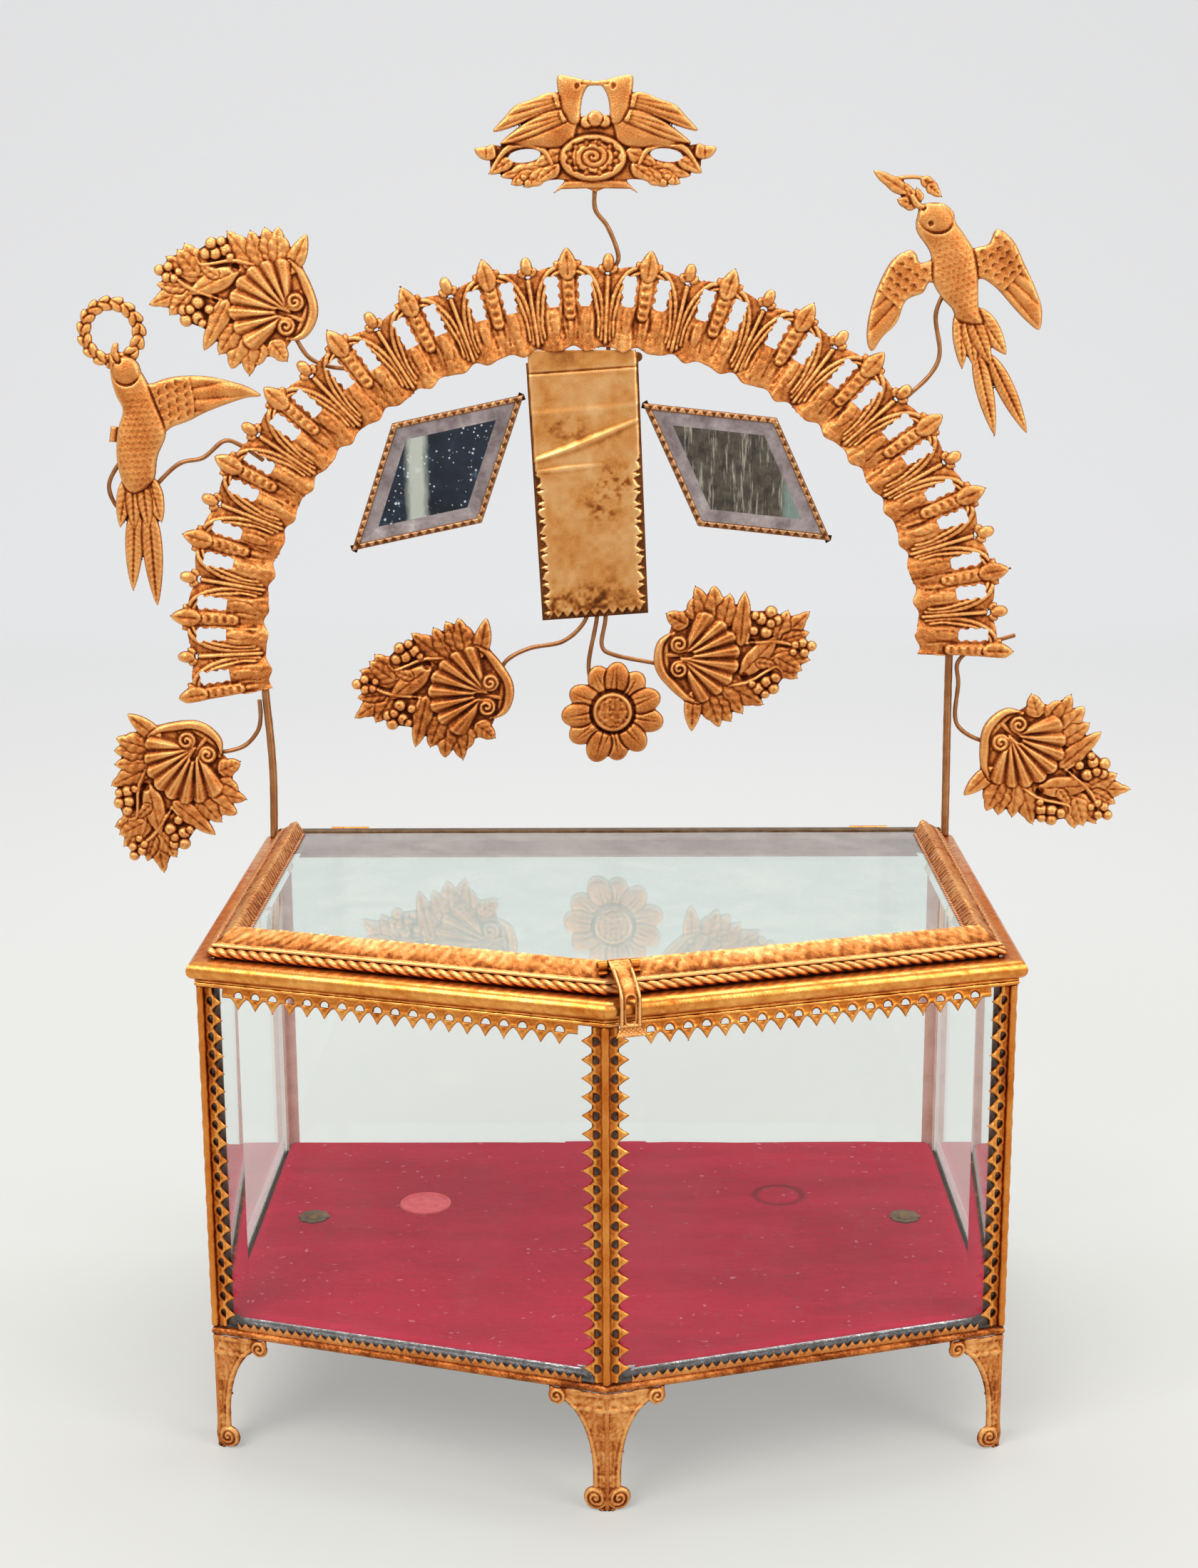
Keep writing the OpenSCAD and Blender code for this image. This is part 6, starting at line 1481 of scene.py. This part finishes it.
for i, name in enumerate(cornerNames):
    v, g = postValues, glassValues
    setback, deep, reach = arrisAt(i)
    start, inner, edge = setback - g["gap"], g["thick"] + g["gap"], g["thick"] - g["edge"] + g["gap"]
    half = [(start, edge), (start, inner), (start + v["leg"], inner), (start + v["leg"], inner + v["foil"])]
    before = (i - 1) % 5
    outline = [insetCorner(i, deep)] + [boxCorners[i] + alongSide[i] * x + inwardSide[i] * y for x,
                                        y in half] + [insetCorner(i, inner + v["foil"])]
    outline += [boxCorners[i] - alongSide[before] * x + inwardSide[before] * y for x, y in half[::-1]]
    outline = np.array(outline)
    levels = np.linspace(v["low"], v["high"], v["rings"])
    rings = np.concatenate([np.broadcast_to(outline, (v["rings"], *outline.shape)),
                            np.broadcast_to(levels[:, None, None], (v["rings"], len(outline), 1))], 2)
    m = len(outline)
    bar = meshObject("came." + name, rings.reshape(-1, 3) * mm, gridFaces(v["rings"], m, closeColumns=True),
                     metal["paleStripReflection" if name.startswith("back") else "brownWire"], smooth=False,
                     caps=[np.arange(m)[::-1], (v["rings"] - 1) * m + np.arange(m)])
    finish(bar, "casket", "gilt_brass", "post_" + name)
    out = 0.75 * v["bead"] / np.sqrt(1 + halfTurn[i] ** 2)
    spot = insetCorner(i, deep - out)
    bar = uprightRod("ridge." + name, spot, v["low"] + 0.6, v["high"] - 0.6, v["ridgeRings"], [v["ridge"]],
                     14, metal["giltBrass"], 0.1)
    finish(bar, "casket", "gilt_brass", "post_" + name)
    shape = toothRelief(toothValues, v["high"] - v["low"] - 0.4, v["band"], name.startswith("back"))
    for mirrored in (False, True):
        strip = stampedSheet("postTeeth." + name + (".b" if mirrored else ".a"), shape,
                             cornerPlace(i, mirrored, (deep * halfTurn[i], deep), v["low"] + 0.2, v["thick"]),
                             metal["giltBrass"], thick=v["thick"])
        finish(strip, "casket", "gilt_brass", "post_" + name)
print("stage 10: rims, posts and sills")

railValues = {"inner": 15.8, "pitch": 3.2, "deep": 1.5, "up": 186.55, "base": 181.6, "step": 0.75,
              "scallopStep": 0.32, "scallopThick": 0.3, "strokes": (0.42, 0.14, 0.14, 0.42)}
for i in range(4):
    v = railValues
    bar = mitredBar("lidRail." + sideNames[i], [i], refined(railLoop, v["step"]), v["base"],
                    metal["railStrip"], v["step"], grained(1.25, 0.2, 51, 4.6, strokes=v["strokes"][i]))
    finish(bar, "lid", "copper_strip", "lid_rail_" + sideNames[i])
    x0 = v["inner"] * halfTurn[i] + 2
    length = sideLength[i] - x0 - (v["inner"] + 2) * max(halfTurn[i + 1], 0.2) - 2
    s, u = stripGrid(length, -0.9, v["deep"] + 0.3, v["pitch"], v["scallopStep"])
    lay(s, np.maximum(v["deep"] - np.hypot(u, np.clip(s["z"], 0, None)), -0.05 - s["z"]), 0.0, 0.35, 0.7)
    s["height"] -= 0.3 * unit(0.5 - np.hypot(u, s["z"] - 0.3))

    def place(x, z, lift, i=i, x0=x0):
        e = lift + 0.2
        y = v["inner"] + z * cos(bevelTilt) - e * sin(bevelTilt)
        return sidePoints(i, i, x0 + x, y, v["up"] + z * sin(bevelTilt) + e * cos(bevelTilt))

    strip = stampedSheet("lidScallops." + sideNames[i], s, place, metal["copperStrip"],
                         thick=v["scallopThick"])
    finish(strip, "lid", "copper_strip", "lid_rail_" + sideNames[i])

footValues = {"high": 43.15, "wide": 20.5, "toe": 4.2, "step": 0.38, "face": 1.15, "clear": 0.42,
              "thick": 0.6, "apart": 0.08, "taper": 22, "foldInset": 1.3, "foldRadius": 0.9,
              "foldSpan": (0.7, 42.2)}


def footRelief(v):
    # scrolled wing: straight at the fold, a quarter oval at the outer edge, volutes at tip and toe
    h, w, r = v["high"], v["wide"], v["toe"]
    s = reliefGrid(0, w + 0.9, -h, 0, v["step"])
    s["z"] = s["z"] - s["z"].max()
    a = np.radians(np.linspace(90, 180, 19))
    edge = [(w - 1.5 + (w - 6.5) * cos(k), -0.7 * h + 0.61 * h * sin(k)) for k in a]
    outline = [(-3, -h - 3), (-3, 3), (w + 0.2, 3), (w + 0.2, -0.06 * h)] + edge + [
        (5, -h + 1.5 * r), (2 * r - 1, -h + r), (r, -h), (0, -h - 3)]
    body = outlineDepth(s, outline, smooth=False)
    tip, toe = disc(s, (w - 2.6, -3), 3), disc(s, (r, -h + r), r)
    depth = np.maximum(np.maximum(body, tip), toe)
    lay(s, depth, 0.0, 0.3, 0.7, 0.16 * cellNoise(s["x"], s["z"], 1.0, 61)
        + 0.1 * cellNoise(s["x"], s["z"], 2.0, 62))
    s["height"] += 0.42 * bell((body - 1.1) / 0.55) + 0.15 * bell((body - 2.6) / 0.3)
    for c, size, way in (((w - 2.6, -3.2), 3.1, 1), ((r, -h + r), r, -1)):
        layVolute(s, c, size, way, 0.3, 0.6, 1.0, 0.3, 1.7, 0.8)
    # raised bars under the top edge
    for z, wide in ((-0.9, 1.0), (-6.6, 0.8)):
        s["height"] += 0.3 * np.exp(-((s["z"] - z) / wide) ** 4) * (s["x"] < w - 6)
    s["stainAndShade"] = 0.12 + 0.45 * cellNoise(s["x"], s["z"], 4, 63) + 0.4 * cellNoise(s["x"], s["z"], 1.1, 61)
    return s


v = footValues
wing = footRelief(v)
for i, name in enumerate(cornerNames):
    for mirrored in (False, True):
        k, way = ((i - 1) % 5, -1) if mirrored else (i, 1)

        def place(x, z, lift, i=i, k=k, way=way):
            inwards = v["face"] - lift
            aside = x + (inwards * halfTurn[i] + v["apart"]) * (1 - x / v["taper"])
            return sidePoints(i, k, way * aside, inwards, np.maximum(v["high"] + z, v["clear"]))

        sheet = stampedSheet("foot." + name + (".b" if mirrored else ".a"), wing, place,
                             metal["stampedBrass"], thick=v["thick"])
        finish(sheet, "casket", "stamped_brass", "foot_" + name)
    bar = uprightRod("footFold." + name, insetCorner(i, v["foldInset"]), *v["foldSpan"], 60,
                     [v["foldRadius"]], 12, metal["stampedBrass"], 0.03)
    finish(bar, "casket", "stamped_brass", "foot_" + name)

haspValues = {"along": 7.3, "axis": (9.0, 190.4), "coil": 1.1, "half": 3.75, "flare": 1.4, "low": 170.0,
              "front": -3.75, "slotHalf": 1.5, "slotAt": 9.2, "slotReach": 3.2, "thick": 0.6, "step": 0.22}


def haspRoute(v):
    # seen from the side: round the pin, down the rail's slope, over the edge and straight down
    a = np.radians(np.linspace(-165, 118, 26))
    curl = np.stack([v["axis"][0] + v["coil"] * np.cos(a), v["axis"][1] + v["coil"] * np.sin(a)], 1)
    rest = np.array([(5.2, 189.95), (1.5, 187.65), (-1.6, 185.6), (-3.0, 184.2), (v["front"], 182.4),
                     (v["front"], 179), (v["front"], 175), (v["front"] - 0.1, 172),
                     (v["front"] - 0.9, v["low"])])
    return smoothCurve(np.concatenate([curl, rest]), closed=False, fine=5)


route = haspRoute(haspValues)
far = travelled(route)
heading = np.gradient(route, axis=0)
heading /= np.linalg.norm(heading, axis=1)[:, None]
v = haspValues
s = reliefGrid(-v["half"] - v["flare"] - 0.5, v["half"] + v["flare"] + 0.5, -far[-1], 0, v["step"])
s["z"] = s["z"] - s["z"].max()
x, end = s["x"], far[-1] + s["z"]
half = v["half"] + v["flare"] * unit(1 - end / 3.6) ** 1.3 - 0.25 * bell((end - 17) / 3)
depth = np.minimum(half - np.abs(x), np.minimum(end, -s["z"]) + 0.15)
lay(s, depth, 0.0, 0.25, 0.7, 0.06 * cellNoise(x, s["z"], 0.8, 71))
s["height"] += 0.55 * np.exp(-((np.abs(x) - v["half"] + 0.75) / 0.5) ** 4) * unit((end - 4.2) / 0.5) * unit(
    (far[-1] - 9.5 - end) / 0.5)
s["height"] += 0.35 * bell((end - 3.9) / 0.45) + 0.3 * unit(np.cos(2 * pi * x / 1.5) * np.cos(
    2 * pi * end / 1.4)) * (end < 3.2) * (end > 0.5)
slot = np.hypot(np.clip(np.abs(x) - 0.2, 0, None),
                np.clip(np.abs(end - v["slotAt"]) - v["slotReach"], 0, None))
pierce(s, v["slotHalf"] - 0.2 - slot)
s["height"] += 0.2 * bell((v["slotHalf"] + 0.2 - slot) / 0.3)
s["stainAndShade"] = 0.3 * cellNoise(x, s["z"], 4, 72)


def haspPlace(x, z, lift):
    # z runs back along the route and lift stands square to it
    at = -z
    inwards, upwards, hy, hz = (np.interp(at, far, column)
                                for column in (route[:, 0], route[:, 1], heading[:, 0], heading[:, 1]))
    inwards, upwards = inwards + hz * (lift + 0.3), upwards - hy * (lift + 0.3)
    return sidePoints(2, 2, haspValues["along"] + x, inwards, upwards)


piece = stampedSheet("haspStrap", s, haspPlace, metal["railStrip"], thick=v["thick"])
finish(piece, "hasp", "gilt_brass", "hasp")
print("stage 11: rails, feet and hasp")
